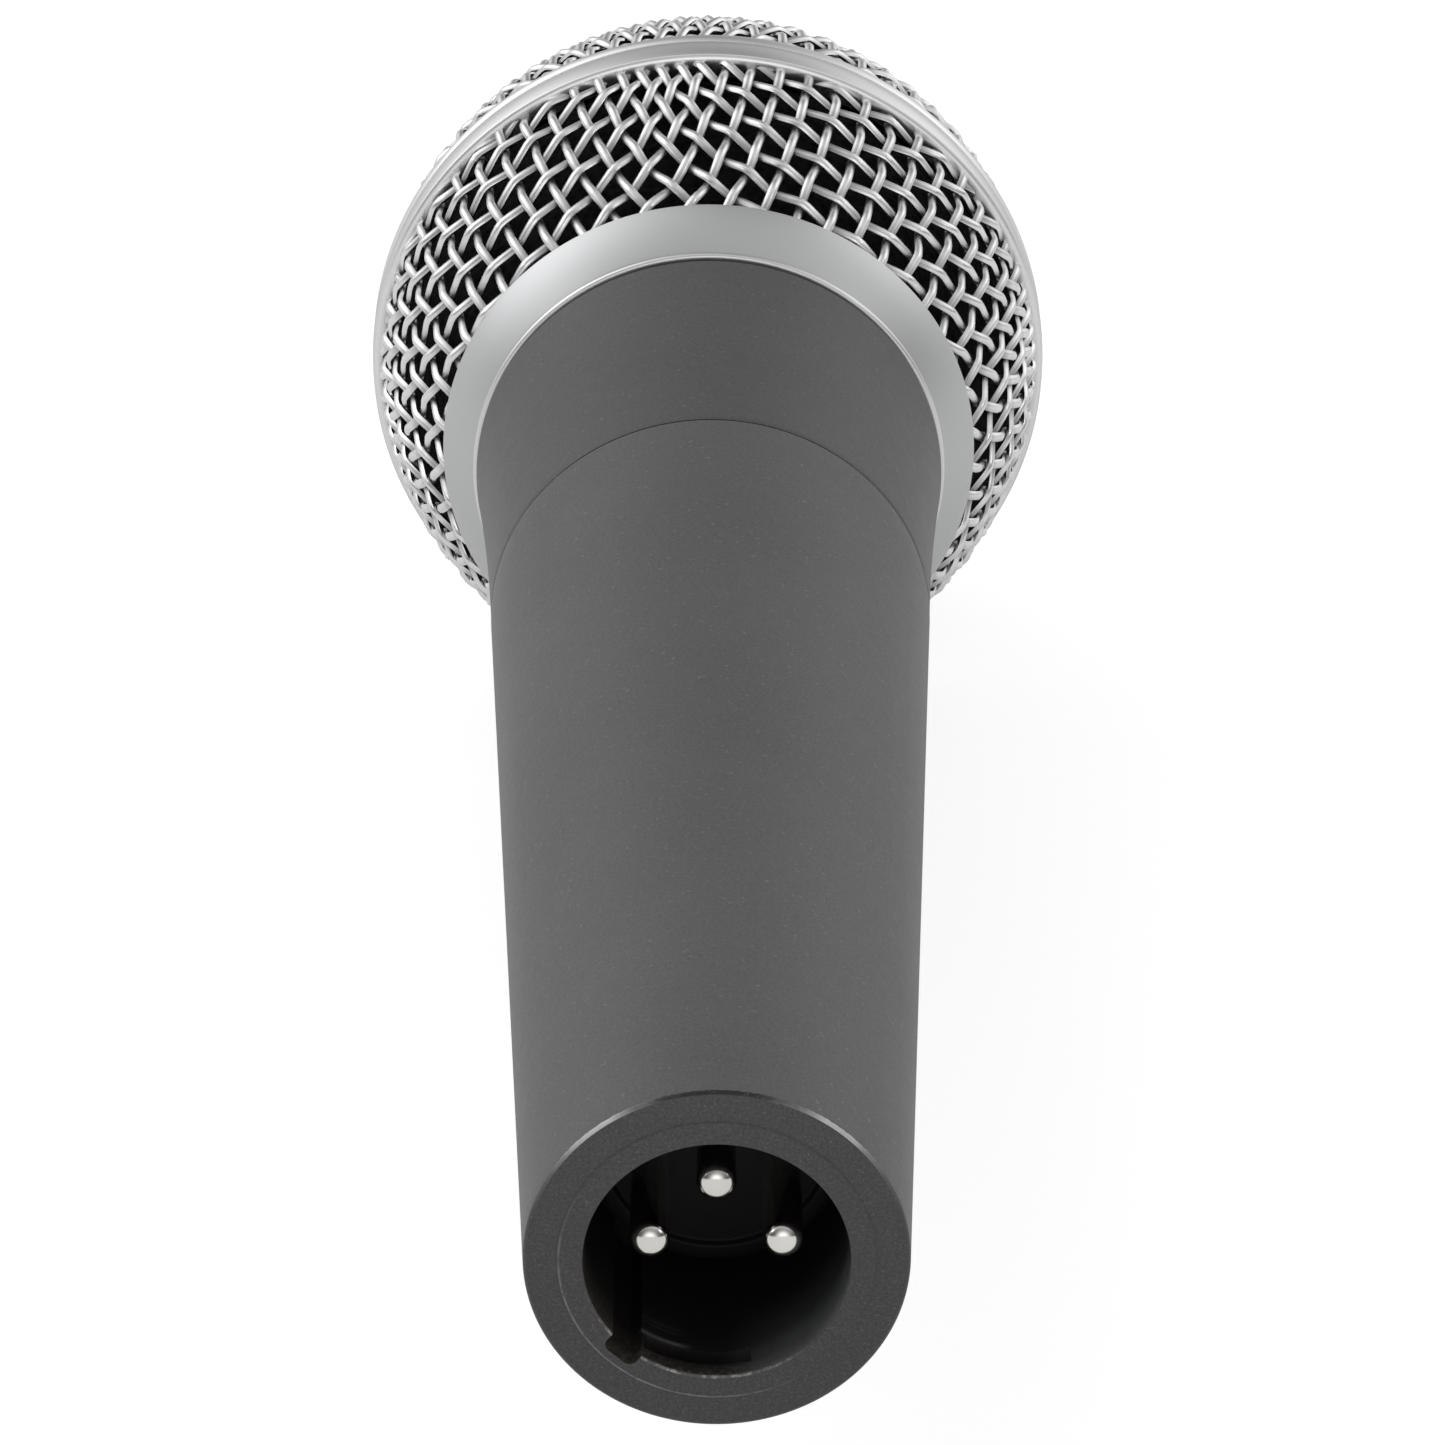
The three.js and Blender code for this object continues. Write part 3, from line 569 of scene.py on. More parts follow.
FILM = plastic("formed_film", base=(0.72, 0.66, 0.50), rough=0.25, bump=0.05)
INSULATION = {
    colour: plastic("insulation_" + colour, base=base, rough=0.4)
    for colour, base in (("black", (0.015, 0.015, 0.015)), ("red", (0.42, 0.03, 0.02)),
                         ("yellow", (0.60, 0.42, 0.04)), ("green", (0.04, 0.25, 0.07)))}


# ------------------------------------------------------------------ mesh helpers
def add_object(name, data):
    obj = bpy.data.objects.new(name, data)
    scene.collection.objects.link(obj)
    return obj


def shade(mesh, sharp):
    """Smooth shading, with edges sharper than so many degrees kept crisp (0: none)."""
    mesh.polygons.foreach_set("use_smooth", [True] * len(mesh.polygons))
    if sharp:
        mesh.set_sharp_from_angle(angle=radians(sharp))


def new_mesh(name, verts, faces, material, sharp):
    mesh = bpy.data.meshes.new(name)
    mesh.from_pydata([tuple(map(float, v)) for v in verts], [], faces)
    mesh.validate()
    bm = bmesh.new()
    bm.from_mesh(mesh)
    bmesh.ops.recalc_face_normals(bm, faces=bm.faces)
    bm.to_mesh(mesh)
    bm.free()
    shade(mesh, sharp)
    mesh.materials.append(material)
    return add_object(name, mesh)


def section(inner, outer, start, end):
    """Rectangular profile of a ring, or of a disc if inner is 0."""
    return [(inner, start), (outer, start), (outer, end), (inner, end)]


def rounded(profile, radius, steps=4):
    """Rounds a profile's corners, except its ends on the axis. radius: one, or one per point."""
    points = []
    count = len(profile)
    closed = not (profile[0][0] == 0 and profile[-1][0] == 0)
    for i, corner in enumerate(profile):
        if not closed and i in (0, count - 1):
            points.append(corner)
            continue
        corner = np.array(corner, float)
        back = np.array(profile[i - 1], float) - corner
        ahead = np.array(profile[(i + 1) % count], float) - corner
        reach = min(radius[i] if isinstance(radius, list) else radius,
                    norm(back) * 0.45, norm(ahead) * 0.45)
        start = corner + back / norm(back) * reach
        end = corner + ahead / norm(ahead) * reach
        for j in range(steps + 1):
            t = j / steps
            point = (1 - t) ** 2 * start + 2 * t * (1 - t) * corner + t ** 2 * end
            points.append((float(point[0]), float(point[1])))
    return points


def lathe(name, profile, material, segments=160, sharp=32, centre=(0.0, 0.0)):
    """Solid of revolution about a line along Y; the profile closes on itself or on the axis."""
    verts, faces, rings = [], [], []
    for radius, station in profile:
        count = 1 if radius < 1e-6 else segments
        rings.append(range(len(verts), len(verts) + count))
        for k in range(count):
            angle = 2 * pi * k / segments
            verts.append(place(centre[0] + radius * cos(angle), station,
                               centre[1] + radius * sin(angle)))
    pairs = list(zip(rings, rings[1:]))
    if len(rings[0]) > 1:
        pairs.append((rings[-1], rings[0]))
    for this, other in pairs:
        for k in range(segments):
            k2 = (k + 1) % segments
            if len(this) == 1:
                faces.append((this[0], other[k], other[k2]))
            elif len(other) == 1:
                faces.append((this[k], this[k2], other[0]))
            else:
                faces.append((this[k], this[k2], other[k2], other[k]))
    return new_mesh(name, verts, faces, material, sharp)


def bar_faces(first, rings, sides):
    """Faces of a bar with closed ends, whose rings of vertices follow each other from first."""
    faces = []
    for k in range(rings - 1):
        this = first + k * sides
        other = this + sides
        for i in range(sides):
            i2 = (i + 1) % sides
            faces.append((this + i, this + i2, other + i2, other + i))
    last = first + (rings - 1) * sides
    faces.append(tuple(reversed(range(first, first + sides))))
    faces.append(tuple(range(last, last + sides)))
    return faces


def bent_bar(name, outlines, material):
    """Bar round the long axis. Outlines: (angle from +Z towards +X, four profile points)."""
    verts = [place(radius * sin(angle), station, radius * cos(angle))
             for angle, corners in outlines for radius, station in corners]
    return new_mesh(name, verts, bar_faces(0, len(outlines), 4), material, sharp=30)


def cut(obj, cutter):
    """Takes the cutter out of the object for good, and removes the cutter."""
    modifier = obj.modifiers.new("cut", "BOOLEAN")
    modifier.operation = "DIFFERENCE"
    modifier.solver = "EXACT"
    modifier.object = cutter
    depsgraph = bpy.context.evaluated_depsgraph_get()
    mesh = bpy.data.meshes.new_from_object(obj.evaluated_get(depsgraph))
    obj.modifiers.clear()
    obj.data = mesh
    bpy.data.objects.remove(cutter)
    shade(mesh, sharp=30)


def peg(radius, start, end, material, segments, centre=(0.0, 0.0)):
    return lathe("hole_cutter", section(0, radius, start, end), material, segments,
                 centre=centre)


def cut_screw_hole(obj, radius, height, z, material):
    """Upright hole at the set screw, from 2 mm below z to height above it."""
    cutter = peg(radius, -2, height, material, segments=40)
    cutter.data.transform(Matrix.Translation((0, -world_y(0), 0)))
    cutter.data.transform(Matrix.Rotation(radians(90), 4, "X"))       # +Y -> +Z
    cutter.data.transform(Matrix.Translation(place(0, SCREW_AT, z)))
    cut(obj, cutter)


def thread(name, base_radius, crest_radius, start, turns, material):
    """Right-hand thread ridge, its ends faded into the wall."""
    outlines = []
    count = int(turns * 96)
    for i in range(count + 1):
        t = i / count
        middle = start + THREAD_PITCH * turns * t
        fade = min(1.0, min(t, 1 - t) * turns * 8)
        crest = base_radius + (crest_radius - base_radius) * max(0.12, fade)
        outlines.append((2 * pi * turns * t, [
            (base_radius, middle - THREAD_BASE / 2), (crest, middle - THREAD_CREST / 2),
            (crest, middle + THREAD_CREST / 2), (base_radius, middle + THREAD_BASE / 2)]))
    return bent_bar(name, outlines, material)


def unit_rows(rows):
    return rows / norm(rows, axis=1)[:, None]


def spline(points, k, u):
    """Smooth curve through the points, at u from 0 to 1 between points k and k + 1."""
    before, here = points[max(0, k - 1)], points[k]
    there, after = points[k + 1], points[min(len(points) - 1, k + 2)]
    return 0.5 * ((2 * here) + (-before + there) * u
                  + (2 * before - 5 * here + 4 * there - after) * u * u
                  + (-before + 3 * here - 3 * there + after) * u ** 3)


def register(obj, body, slot, *nodes):
    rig.ride(obj, body)
    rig.slot(obj, slot)
    if nodes:
        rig.replaces(obj, *nodes)


# ------------------------------------------------------------------ handle
profile = [(9.47, 0.10), (9.47, 0.0), (10.3, 0.0), (10.8, 0.0)]
for i in range(7):                               # rounded rim
    angle = pi / 2 * i / 6
    profile.append((TAIL_RADIUS - TAIL_ROUNDING + TAIL_ROUNDING * sin(angle) + 0.013,
                    TAIL_ROUNDING - TAIL_ROUNDING * cos(angle)))
profile += [(handle_radius(s), s) for s in np.linspace(1.2, SEAM_AT - 0.35, 40)]
profile += [(SEAM_RADIUS - 0.02, SEAM_AT - 0.10), (SEAM_RADIUS - 0.07, SEAM_AT + 0.04),
            (SEAM_RADIUS - 0.2, SEAM_AT + 0.07), (13.7, SEAM_AT), (13.5, SEAM_AT - 0.2),
            (13.5, 79.2)]
profile += [(handle_radius(s) - HANDLE_WALL, s) for s in (78.0, 50.0, 22.0)]
profile += [(handle_radius(22) - HANDLE_WALL, 20.2), (9.5, 20.2)]
handle = lathe("handle_body", profile, HANDLE, segments=224)
cut_screw_hole(handle, radius=1.35, height=8, z=-14.5, material=HANDLE)
register(handle, "handle", "handle_paint", "handle_shell")
register(thread("handle_thread", base_radius=13.75, crest_radius=12.9,
                start=LOWER_THREAD_AT + THREAD_PITCH / 2, turns=2, material=HANDLE),
         "handle", "handle_paint")


# ------------------------------------------------------------------ connector
def key_cutter():
    """Rounded bar that cuts the keyway into the lower -X side of the bore."""
    bm = bmesh.new()
    bmesh.ops.create_cube(bm, size=1.0)
    bmesh.ops.scale(bm, verts=bm.verts, vec=(2.3 * MM, 20 * MM, 1.5 * MM))
    edges = [e for e in bm.edges if abs((e.verts[0].co - e.verts[1].co).y) > 10 * MM]
    bmesh.ops.bevel(bm, geom=edges, offset=0.52 * MM, segments=6, profile=0.5, affect="EDGES")
    mesh = bpy.data.meshes.new("key_cutter")
    bm.to_mesh(mesh)
    bm.free()
    cutter = add_object("key_cutter", mesh)
    mesh.transform(Matrix.Translation(place(0.1, 6.5, 8.12)))
    mesh.transform(Matrix.Rotation(radians(222), 4, "Y"))
    return cutter


def recess_cutter():
    """Shallow groove round the bottom of the bore, near the mouth."""
    inner, outer, start, end = 7.0, 8.75, 1.05, 2.75
    first, last, steps = 165, 213, 48            # degrees from +Z towards +X
    corners = [(inner, start), (outer, start + 0.15), (outer, end - 0.15), (inner, end)]
    return bent_bar("sector_cutter", [(radians(first + (last - first) * i / steps), corners)
                                      for i in range(steps + 1)], CONNECTOR)


# sleeve with a rounded mouth standing just proud of the tail face
profile = [(BORE_RADIUS, 0.30), (7.955, 0.04), (7.985, -0.04), (8.09, -0.09), (8.6, -0.09),
           (9.0, -0.09), (9.30, -0.09), (9.40, -0.085), (9.45, -0.06), (9.475, -0.01),
           (9.48, 0.03), (9.48, 13.4)]
profile += [(BORE_RADIUS, s) for s in (13.4, 12.0, 9.0, 6.0, 3.6)]
sleeve = lathe("connector_sleeve", profile, CONNECTOR, segments=224)
cut(sleeve, key_cutter())
cut(sleeve, recess_cutter())
sleeve.data.materials.append(WALLS)
for face in sleeve.data.polygons:                # the wall is bare moulding, the mouth sprayed
    centre = face.center
    if hypot(centre.x, centre.z) / MM < 9.2 and (centre.y - TAIL_Y) / MM > 0.06:
        face.material_index = 1
register(sleeve, "handle", "connector_paint", "connector_shell")

# pin carrier: moulded disc with a raised middle and a rim step
PIN_CENTRES = {"pin_1": (-3.96, 0.0), "pin_2": (3.96, 0.0), "pin_3": (0.0, 3.96)}    # x, z
carrier = lathe("pin_carrier", rounded(
    [(0, 13.6), (6.7, 13.6), (6.9, 13.25), (7.75, 13.25), (7.75, 13.56), (9.25, 13.56),
     (9.25, 18.4), (8.2, 18.4), (8.2, 19.6), (0, 19.6)],
    [0, 0.1, 0.1, 0.15, 0.05, 0.1, 0.2, 0.1, 0.2, 0]), BORE)
for centre in PIN_CENTRES.values():
    cut(carrier, peg(1.21, 10, 24, BORE, segments=48, centre=centre))
cut_screw_hole(carrier, radius=1.3, height=5.1, z=-12.5, material=BORE)
register(carrier, "handle", "black_plastic", "connector_insert")

PIN_RADIUS, PIN_TIP = 1.195, 1.9
profile = [(0, PIN_TIP)]
for i in range(1, 10):                           # blunt domed tip
    angle = pi / 2 * i / 9
    profile.append((PIN_RADIUS * sin(angle) ** 0.84, PIN_TIP + 0.78 * (1 - cos(angle))))
profile += [(PIN_RADIUS, 6.0), (PIN_RADIUS, 12.0), (PIN_RADIUS, 23.9), (1.1, 24.0),
            (0.85, 24.0), (0.8, 23.9), (0.8, 21.2), (0, 21.2)]
for node, centre in PIN_CENTRES.items():
    pin = lathe("contact_" + node, profile, PIN, segments=64, centre=centre)
    register(pin, "handle", "pin_silver", node)

# ------------------------------------------------------------------ neck
profile = [(11.3, 79.8), (11.5, 79.6), (12.4, 79.6), (12.6, 79.8), (12.6, NECK_START),
           (15.05, NECK_START), (15.25, NECK_START - 0.08), (15.42, NECK_START - 0.05),
           (neck_radius(NECK_START + 0.2) - 0.02, NECK_START + 0.08)]
profile += [(neck_radius(s), s) for s in np.linspace(NECK_START + 0.45, NECK_END - 0.5, 28)]
profile += [(NECK_RADIUS - 0.04, NECK_END - 0.22), (NECK_RADIUS - 0.14, NECK_END - 0.07),
            (NECK_RADIUS - 0.3, NECK_END), (15.3, NECK_END), (15.3, 118.1), (15.0, 118.4),
            (14.2, 118.4), (14.0, 118.2), (14.0, 103.5), (13.0, 103.5), (13.0, 89.5),
            (11.3, 88.4)]
register(lathe("neck_body", profile, NECK, segments=224), "head", "neck_paint", "neck_collar")
register(thread("neck_thread_lower", base_radius=12.3, crest_radius=13.2,
                start=LOWER_THREAD_AT, turns=2, material=NECK), "head", "neck_paint")
register(thread("neck_thread_upper", base_radius=15.0, crest_radius=15.9,
                start=UPPER_THREAD_AT, turns=1.5, material=NECK), "head", "neck_paint")
register(lathe("neck_seal", rounded(section(13.4, 15.0, SEAM_AT + 0.03, NECK_START - 0.03),
                                    0.08, steps=3), RUBBER),
         "neck_gasket", "black_rubber", "neck_gasket")
register(lathe("rear_mount_ring", rounded([(12.35, 103.7), (13.85, 103.7), (13.85, 107.8),
                                           (13.3, 108.3), (12.35, 108.3)], 0.3), RUBBER),
         "head", "black_rubber", "shock_mount_rear")
register(lathe("front_mount_ring", rounded(section(12.35, 13.85, 114.0, 118.2), 0.3), RUBBER),
         "head", "black_rubber", "shock_mount_front")

# ------------------------------------------------------------------ grille rings
# collar: a small bare bead at its low edge, then a slightly crowned satin cone
profile = [(16.2, COLLAR_START + 0.1), (16.3, COLLAR_START), (17.0, COLLAR_START)]
for i in range(9):
    angle = radians(-80 + 170 * i / 8)
    profile.append((17.18 + 0.25 * cos(angle), COLLAR_START + 0.25 + 0.25 * sin(angle)))
profile.append((17.27, COLLAR_START + 0.54))
for i in range(15):
    t = i / 14
    profile.append((17.40 + (COLLAR_RADIUS - 0.04 - 17.40) * t + 0.19 * 4 * t * (1 - t),
                    COLLAR_START + 0.66 + (COLLAR_END - 0.22 - COLLAR_START - 0.66) * t))
profile += [(COLLAR_RADIUS, COLLAR_END - 0.12), (COLLAR_RADIUS - 0.04, COLLAR_END - 0.03),
            (COLLAR_RADIUS - 0.16, COLLAR_END), (17.7, COLLAR_END), (17.5, COLLAR_END + 0.1),
            (17.5, 118.1), (17.3, 118.3), (16.4, 118.3), (16.2, 118.1)]
collar = lathe("collar_ring", profile, SILVER, segments=224)
collar.data.materials.append(EDGE)
for face in collar.data.polygons:
    centre = face.center
    low = (centre.y - TAIL_Y) / MM < COLLAR_START + 0.53
    if low and hypot(centre.x, centre.z) / MM > 17.05:
        face.material_index = 1
register(collar, "grille", "silver_satin", "grille_collar")
register(thread("collar_thread", base_radius=16.5, crest_radius=15.6,
                start=UPPER_THREAD_AT + THREAD_PITCH / 2, turns=1.25, material=SILVER),
         "grille", "silver_satin")
register(lathe("collar_seal", rounded(section(16.1, 16.9, NECK_END + 0.05, COLLAR_START - 0.05),
                                      0.1, steps=3), RUBBER),
         "grille_gasket", "black_rubber", "grille_gasket")


def crowned(middle, half_width):
    steps = [-1 + 2 * i / 10 for i in range(11)]
    return [(BAND_RADIUS - 0.16 * t * t, middle + half_width * t) for t in steps]


# band: a broad crowned strip, a fine groove and a narrow bead
profile = [(23.7, BAND_START + 0.25), (24.6, BAND_START + 0.10), (25.12, BAND_START - 0.02),
           (25.38, BAND_START + 0.03), (25.56, BAND_START + 0.18)]
profile += crowned(133.52, 1.42)
profile += [(25.34, 134.97), (25.28, 135.01), (25.34, 135.05)]
profile += crowned(135.68, 0.60)
profile += [(25.50, BAND_END - 0.12), (25.34, BAND_END - 0.02), (25.1, BAND_END),
            (24.6, BAND_END - 0.1), (23.7, BAND_END - 0.25)]
register(lathe("band_ring", profile, BAND, segments=256), "grille", "silver_satin",
         "grille_band")


# ------------------------------------------------------------------ woven wire
class Surface:
    """Surface of revolution given by a profile that starts on the axis.
    Its normals are turned by sign (1 or -1) to point outwards."""

    def __init__(self, profile, sign):
        corners = np.array(profile, float)
        along = np.concatenate([[0], np.cumsum(norm(np.diff(corners, axis=0), axis=1))])
        self.length = along[-1]
        self.along = np.linspace(0, self.length, 6000)
        self.points = np.stack([np.interp(self.along, along, corners[:, i]) for i in (0, 1)], 1)
        slope = np.gradient(self.points, axis=0)
        reach = 25                               # smoothed so that corners don't kink the wires
        kernel = np.hanning(2 * reach + 1)
        kernel /= kernel.sum()
        slope = unit_rows(np.stack([
            np.convolve(np.pad(slope[:, i], reach, mode="edge"), kernel, mode="valid")
            for i in (0, 1)], 1))
        self.normals = sign * np.stack([-slope[:, 1], slope[:, 0]], 1)

    def project(self, point):
        """Nearest point on the surface, the normal there and its distance along the profile."""
        radius = hypot(point[0], point[2])
        k = int(np.argmin((self.points[:, 0] - radius) ** 2
                          + (self.points[:, 1] - point[1]) ** 2))
        x, z = (point[0] / radius, point[2] / radius) if radius > 1e-9 else (1.0, 0.0)
        spot, normal = (np.array([row[0] * x, row[1], row[0] * z])
                        for row in (self.points[k], self.normals[k]))
        return spot, normal / norm(normal), self.along[k]


def settle(surface, guess, equations, max_step=inf):
    """Moves a guess over the surface until its equations hold.
    equations(point) gives gradients and the amounts still to go along them."""
    point, normal, along = surface.project(guess)
    for _ in range(24):
        rows, amounts = equations(point)
        step = np.linalg.solve(np.array([*rows, normal]), np.array([*amounts, 0.0]))
        length = norm(step)
        if length > max_step:
            step *= max_step / length
        point, normal, along = surface.project(point + step)
        if length < 2e-3:
            break
    return point, normal, along


def side_equation(point, end, spacing):
    """Holds where the point lies one spacing from the end."""
    side = point - end
    length = norm(side) + 1e-12
    return side / length, spacing - length


def fishnet(surface, spacing):
    """A square net with sides of fixed length, laid from the pole: {(i, j): (point, normal,
    distance along the profile)}. The pole is the middle of a cell, so a quarter is solved and
    then turned four times."""
    angle = radians(WIRE_AZIMUTH)
    first_way = np.array([cos(angle), 0, sin(angle)])
    second_way = np.array([-sin(angle), 0, cos(angle)])
    pole = np.array([0, surface.points[0, 1], 0])
    count = int(surface.length / spacing) + 3
    net = {(0, 0): surface.project(pole + spacing * (0.5 * first_way + 0.5 * second_way))}

    # the two rows next to the principal meridians keep half a spacing off them
    for axis, (way, across) in enumerate(((first_way, second_way), (second_way, first_way))):
        last = net[(0, 0)][0]
        stride = way * spacing

        def row_equations(point):
            gradient, amount = side_equation(point, last, spacing)
            return (gradient, across), (amount, spacing / 2 - point @ across)

        for k in range(1, count):
            node = settle(surface, last + stride, row_equations)
            net[(k, 0) if axis == 0 else (0, k)] = node
            stride, last = node[0] - last, node[0]
            if node[2] > surface.length - 0.02:
                break

    # every other knot is one side away from two earlier ones
    for ring in range(1, 2 * count):
        for i in range(1, ring + 1):
            j = ring + 1 - i
            if (i - 1, j) not in net or (i, j - 1) not in net:
                continue
            ends = [net[key][0] for key in ((i - 1, j), (i, j - 1))]
            if max(net[(i - 1, j)][2], net[(i, j - 1)][2]) > surface.length - 0.05:
                continue
            guess = ends[0] + ends[1] - net[(i - 1, j - 1)][0]
            try:
                node = settle(surface, guess, lambda point: zip(
                    *(side_equation(point, end, spacing) for end in ends)), max_step=0.6)
            except np.linalg.LinAlgError:        # sides in line: no such knot
                continue
            # a side far off its length means that the net can't reach here
            if any(abs(norm(node[0] - end) - spacing) > 0.5 * spacing for end in ends):
                continue
            net[(i, j)] = node

    full = {}
    for (i, j), (point, normal, along) in net.items():
        x, z = i + 0.5, j + 0.5
        for turn in range(4):
            c, s = round(cos(turn * pi / 2)), round(sin(turn * pi / 2))
            key = (int(round(c * x - s * z - 0.5)), int(round(s * x + c * z - 0.5)))
            spot, turned = (np.array([c * v[0] - s * v[2], v[1], s * v[0] + c * v[2]])
                            for v in (point, normal))
            full[key] = (spot, turned, along)
    return full


def unbroken_runs(line, net, jitter):
    """Stretches of a wire's knots that lie in the net, each as (point, normal, over or under)."""
    run = []
    for key, side in line + [(None, 0)]:
        if key in net:
            point, normal, _ = net[key]
            shift = jitter[key] - normal * (jitter[key] @ normal)
            run.append((point + shift, normal, side))
            continue
        if len(run) >= 3:
            yield run
        run = []


def crimped_paths(run, start, end, steps=6):
    """Centre lines of the wire between two stations, as (point, normal, lift from -1 to 1)."""
    points, normals, sides = (np.array(column, float) for column in zip(*run))
    path = []
    for k in range(len(run) - 1):
        for i in range(steps + (1 if k == len(run) - 2 else 0)):
            u = i / steps
            centre = spline(points, k, u)
            normal = normals[k] * (1 - u) + normals[k + 1] * u
            normal /= norm(normal)
            lift = CRIMP * sides[k] * asin(0.94 * cos(pi * u)) / asin(0.94)
            if start < centre[1] < end:
                path.append((centre + normal * lift, normal, lift / CRIMP))
            else:
                yield path
                path = []
    yield path


def weave(name, surface, start, end, sides=8):
    """Sweeps both wire families over and under each other between two stations."""
    net = fishnet(surface, WIRE_SPACING)
    verts, faces, crest = [], [], []
    random = np.random.default_rng(len(net))
    jitter = {key: random.normal(0, 0.055, 3) for key in sorted(net)}
    i_range, j_range = (range(min(v), max(v) + 1) for v in zip(*net))
    lines = [[((i, j), 1 if (i + j) % 2 == 0 else -1) for j in j_range] for i in i_range]
    lines += [[((i, j), -1 if (i + j) % 2 == 0 else 1) for i in i_range] for j in j_range]
    ring = [(cos(2 * pi * k / sides), sin(2 * pi * k / sides)) for k in range(sides)]

    def sweep(path):
        points, normals, lifts = (np.array(column) for column in zip(*path))
        forward = unit_rows(np.gradient(points, axis=0))
        upward = unit_rows(normals - (normals * forward).sum(1)[:, None] * forward)
        sideways = np.cross(forward, upward)
        faces.extend(bar_faces(len(verts), len(points), sides))
        for k in range(len(points)):
            for c, s in ring:
                verts.append(place(*(points[k] + WIRE_HALF_HEIGHT * c * upward[k]
                                     + WIRE_HALF_WIDTH * s * sideways[k])))
                crest.append(0.5 + 0.5 * lifts[k])

    for line in lines:
        for run in unbroken_runs(line, net, jitter):
            for path in crimped_paths(run, start, end):
                if len(path) >= 4:
                    sweep(path)
    obj = new_mesh(name, verts, faces, WIRE, sharp=50)
    attribute = obj.data.attributes.new("crest", "FLOAT", "POINT")
    attribute.data.foreach_set("value", np.array(crest, np.float32))
    return obj


# lower cup: flat bottom (left out, inside the collar), small corner, then the conical side
side = []
for s in np.linspace(COLLAR_END - 0.3, BAND_START + 3.2, 60):
    on_cone = min(s, BAND_START)
    slope = (cone_radius(on_cone + 0.01) - cone_radius(on_cone - 0.01)) / 0.02
    stretch = hypot(1, slope)
    station = s + WIRE_DEPTH * slope / stretch
    tuck = 0.75 * max(0.0, COLLAR_END + 0.55 - station)    # leads the wires inside the collar
    side.append((cone_radius(on_cone) - WIRE_DEPTH / stretch - tuck, station))
edge_radius, edge_at = side[0]
floor_at = edge_at - 1.6
cup = [(0.0, floor_at), (edge_radius - 2.2, floor_at)]
start, bend, end = np.array(cup[1]), np.array([edge_radius - 0.5, floor_at]), np.array(side[0])
for i in range(1, 8):
    t = i / 8
    cup.append(tuple((1 - t) ** 2 * start + 2 * t * (1 - t) * bend + t * t * end))
register(weave("grille_wire_lower", Surface(cup + side, sign=-1),
               start=COLLAR_END - 0.55, end=BAND_START + 0.9),
         "grille", "mesh_steel", "mesh_lower")

skirt = [(DOME_RADIUS - WIRE_DEPTH, DOME_START - drop) for drop in (1.0, 2.0, 3.2)]
register(weave("grille_wire_upper", Surface(dome(WIRE_DEPTH, steps=240) + skirt, sign=1),
               start=BAND_END - 0.9, end=inf),
         "grille", "mesh_steel", "mesh_upper")


# ------------------------------------------------------------------ foam
def foam(name, outer, inner, lump=0.10):
    """Lumpy open-cell liner between two profiles given from one edge to the other."""
    obj = lathe(name, outer + inner[::-1], FOAM, segments=180, sharp=0)
    vertices = obj.data.vertices
    points, normals = np.zeros(len(vertices) * 3), np.zeros(len(vertices) * 3)
    vertices.foreach_get("co", points)
    vertices.foreach_get("normal", normals)
    points = points.reshape(-1, 3) / MM
    height = np.zeros(len(points))
    random = np.random.default_rng(7)
    for frequency in (0.7, 1.3, 2.1, 3.3):
        for _ in range(7):
            direction = random.normal(0, frequency, 3)
            height += np.sin(points @ direction + random.uniform(0, 6.28)) / frequency
    height *= lump / (np.abs(height).max() + 1e-9) * 1.6
    points = (points + normals.reshape(-1, 3) * height[:, None]) * MM
    vertices.foreach_set("co", points.ravel())
    obj.data.update()
    return obj


def inset_line(points, distance):
    """Moves a line towards the axis side, square to itself."""
    moved = []
    for i, (radius, station) in enumerate(points):
        r1, s1 = points[max(0, i - 1)]
        r2, s2 = points[min(len(points) - 1, i + 1)]
        length = hypot(r2 - r1, s2 - s1)
        moved.append((radius - distance * (s2 - s1) / length,
                      station + distance * (r2 - r1) / length))
    return moved


def dome_liner(inset):
    return [(radius, max(station, DOME_START + 0.3)) for radius, station in dome(inset, 60)]


cone = [(cone_radius(s), s) for s in np.linspace(117.6, 131.4, 40)]
register(foam("foam_liner_lower", inset_line(cone, 1.62), inset_line(cone, 3.3)),
         "grille", "foam", "foam_lower")
register(foam("foam_liner_upper", dome_liner(1.7), dome_liner(3.6)),
         "grille", "foam", "foam_upper")

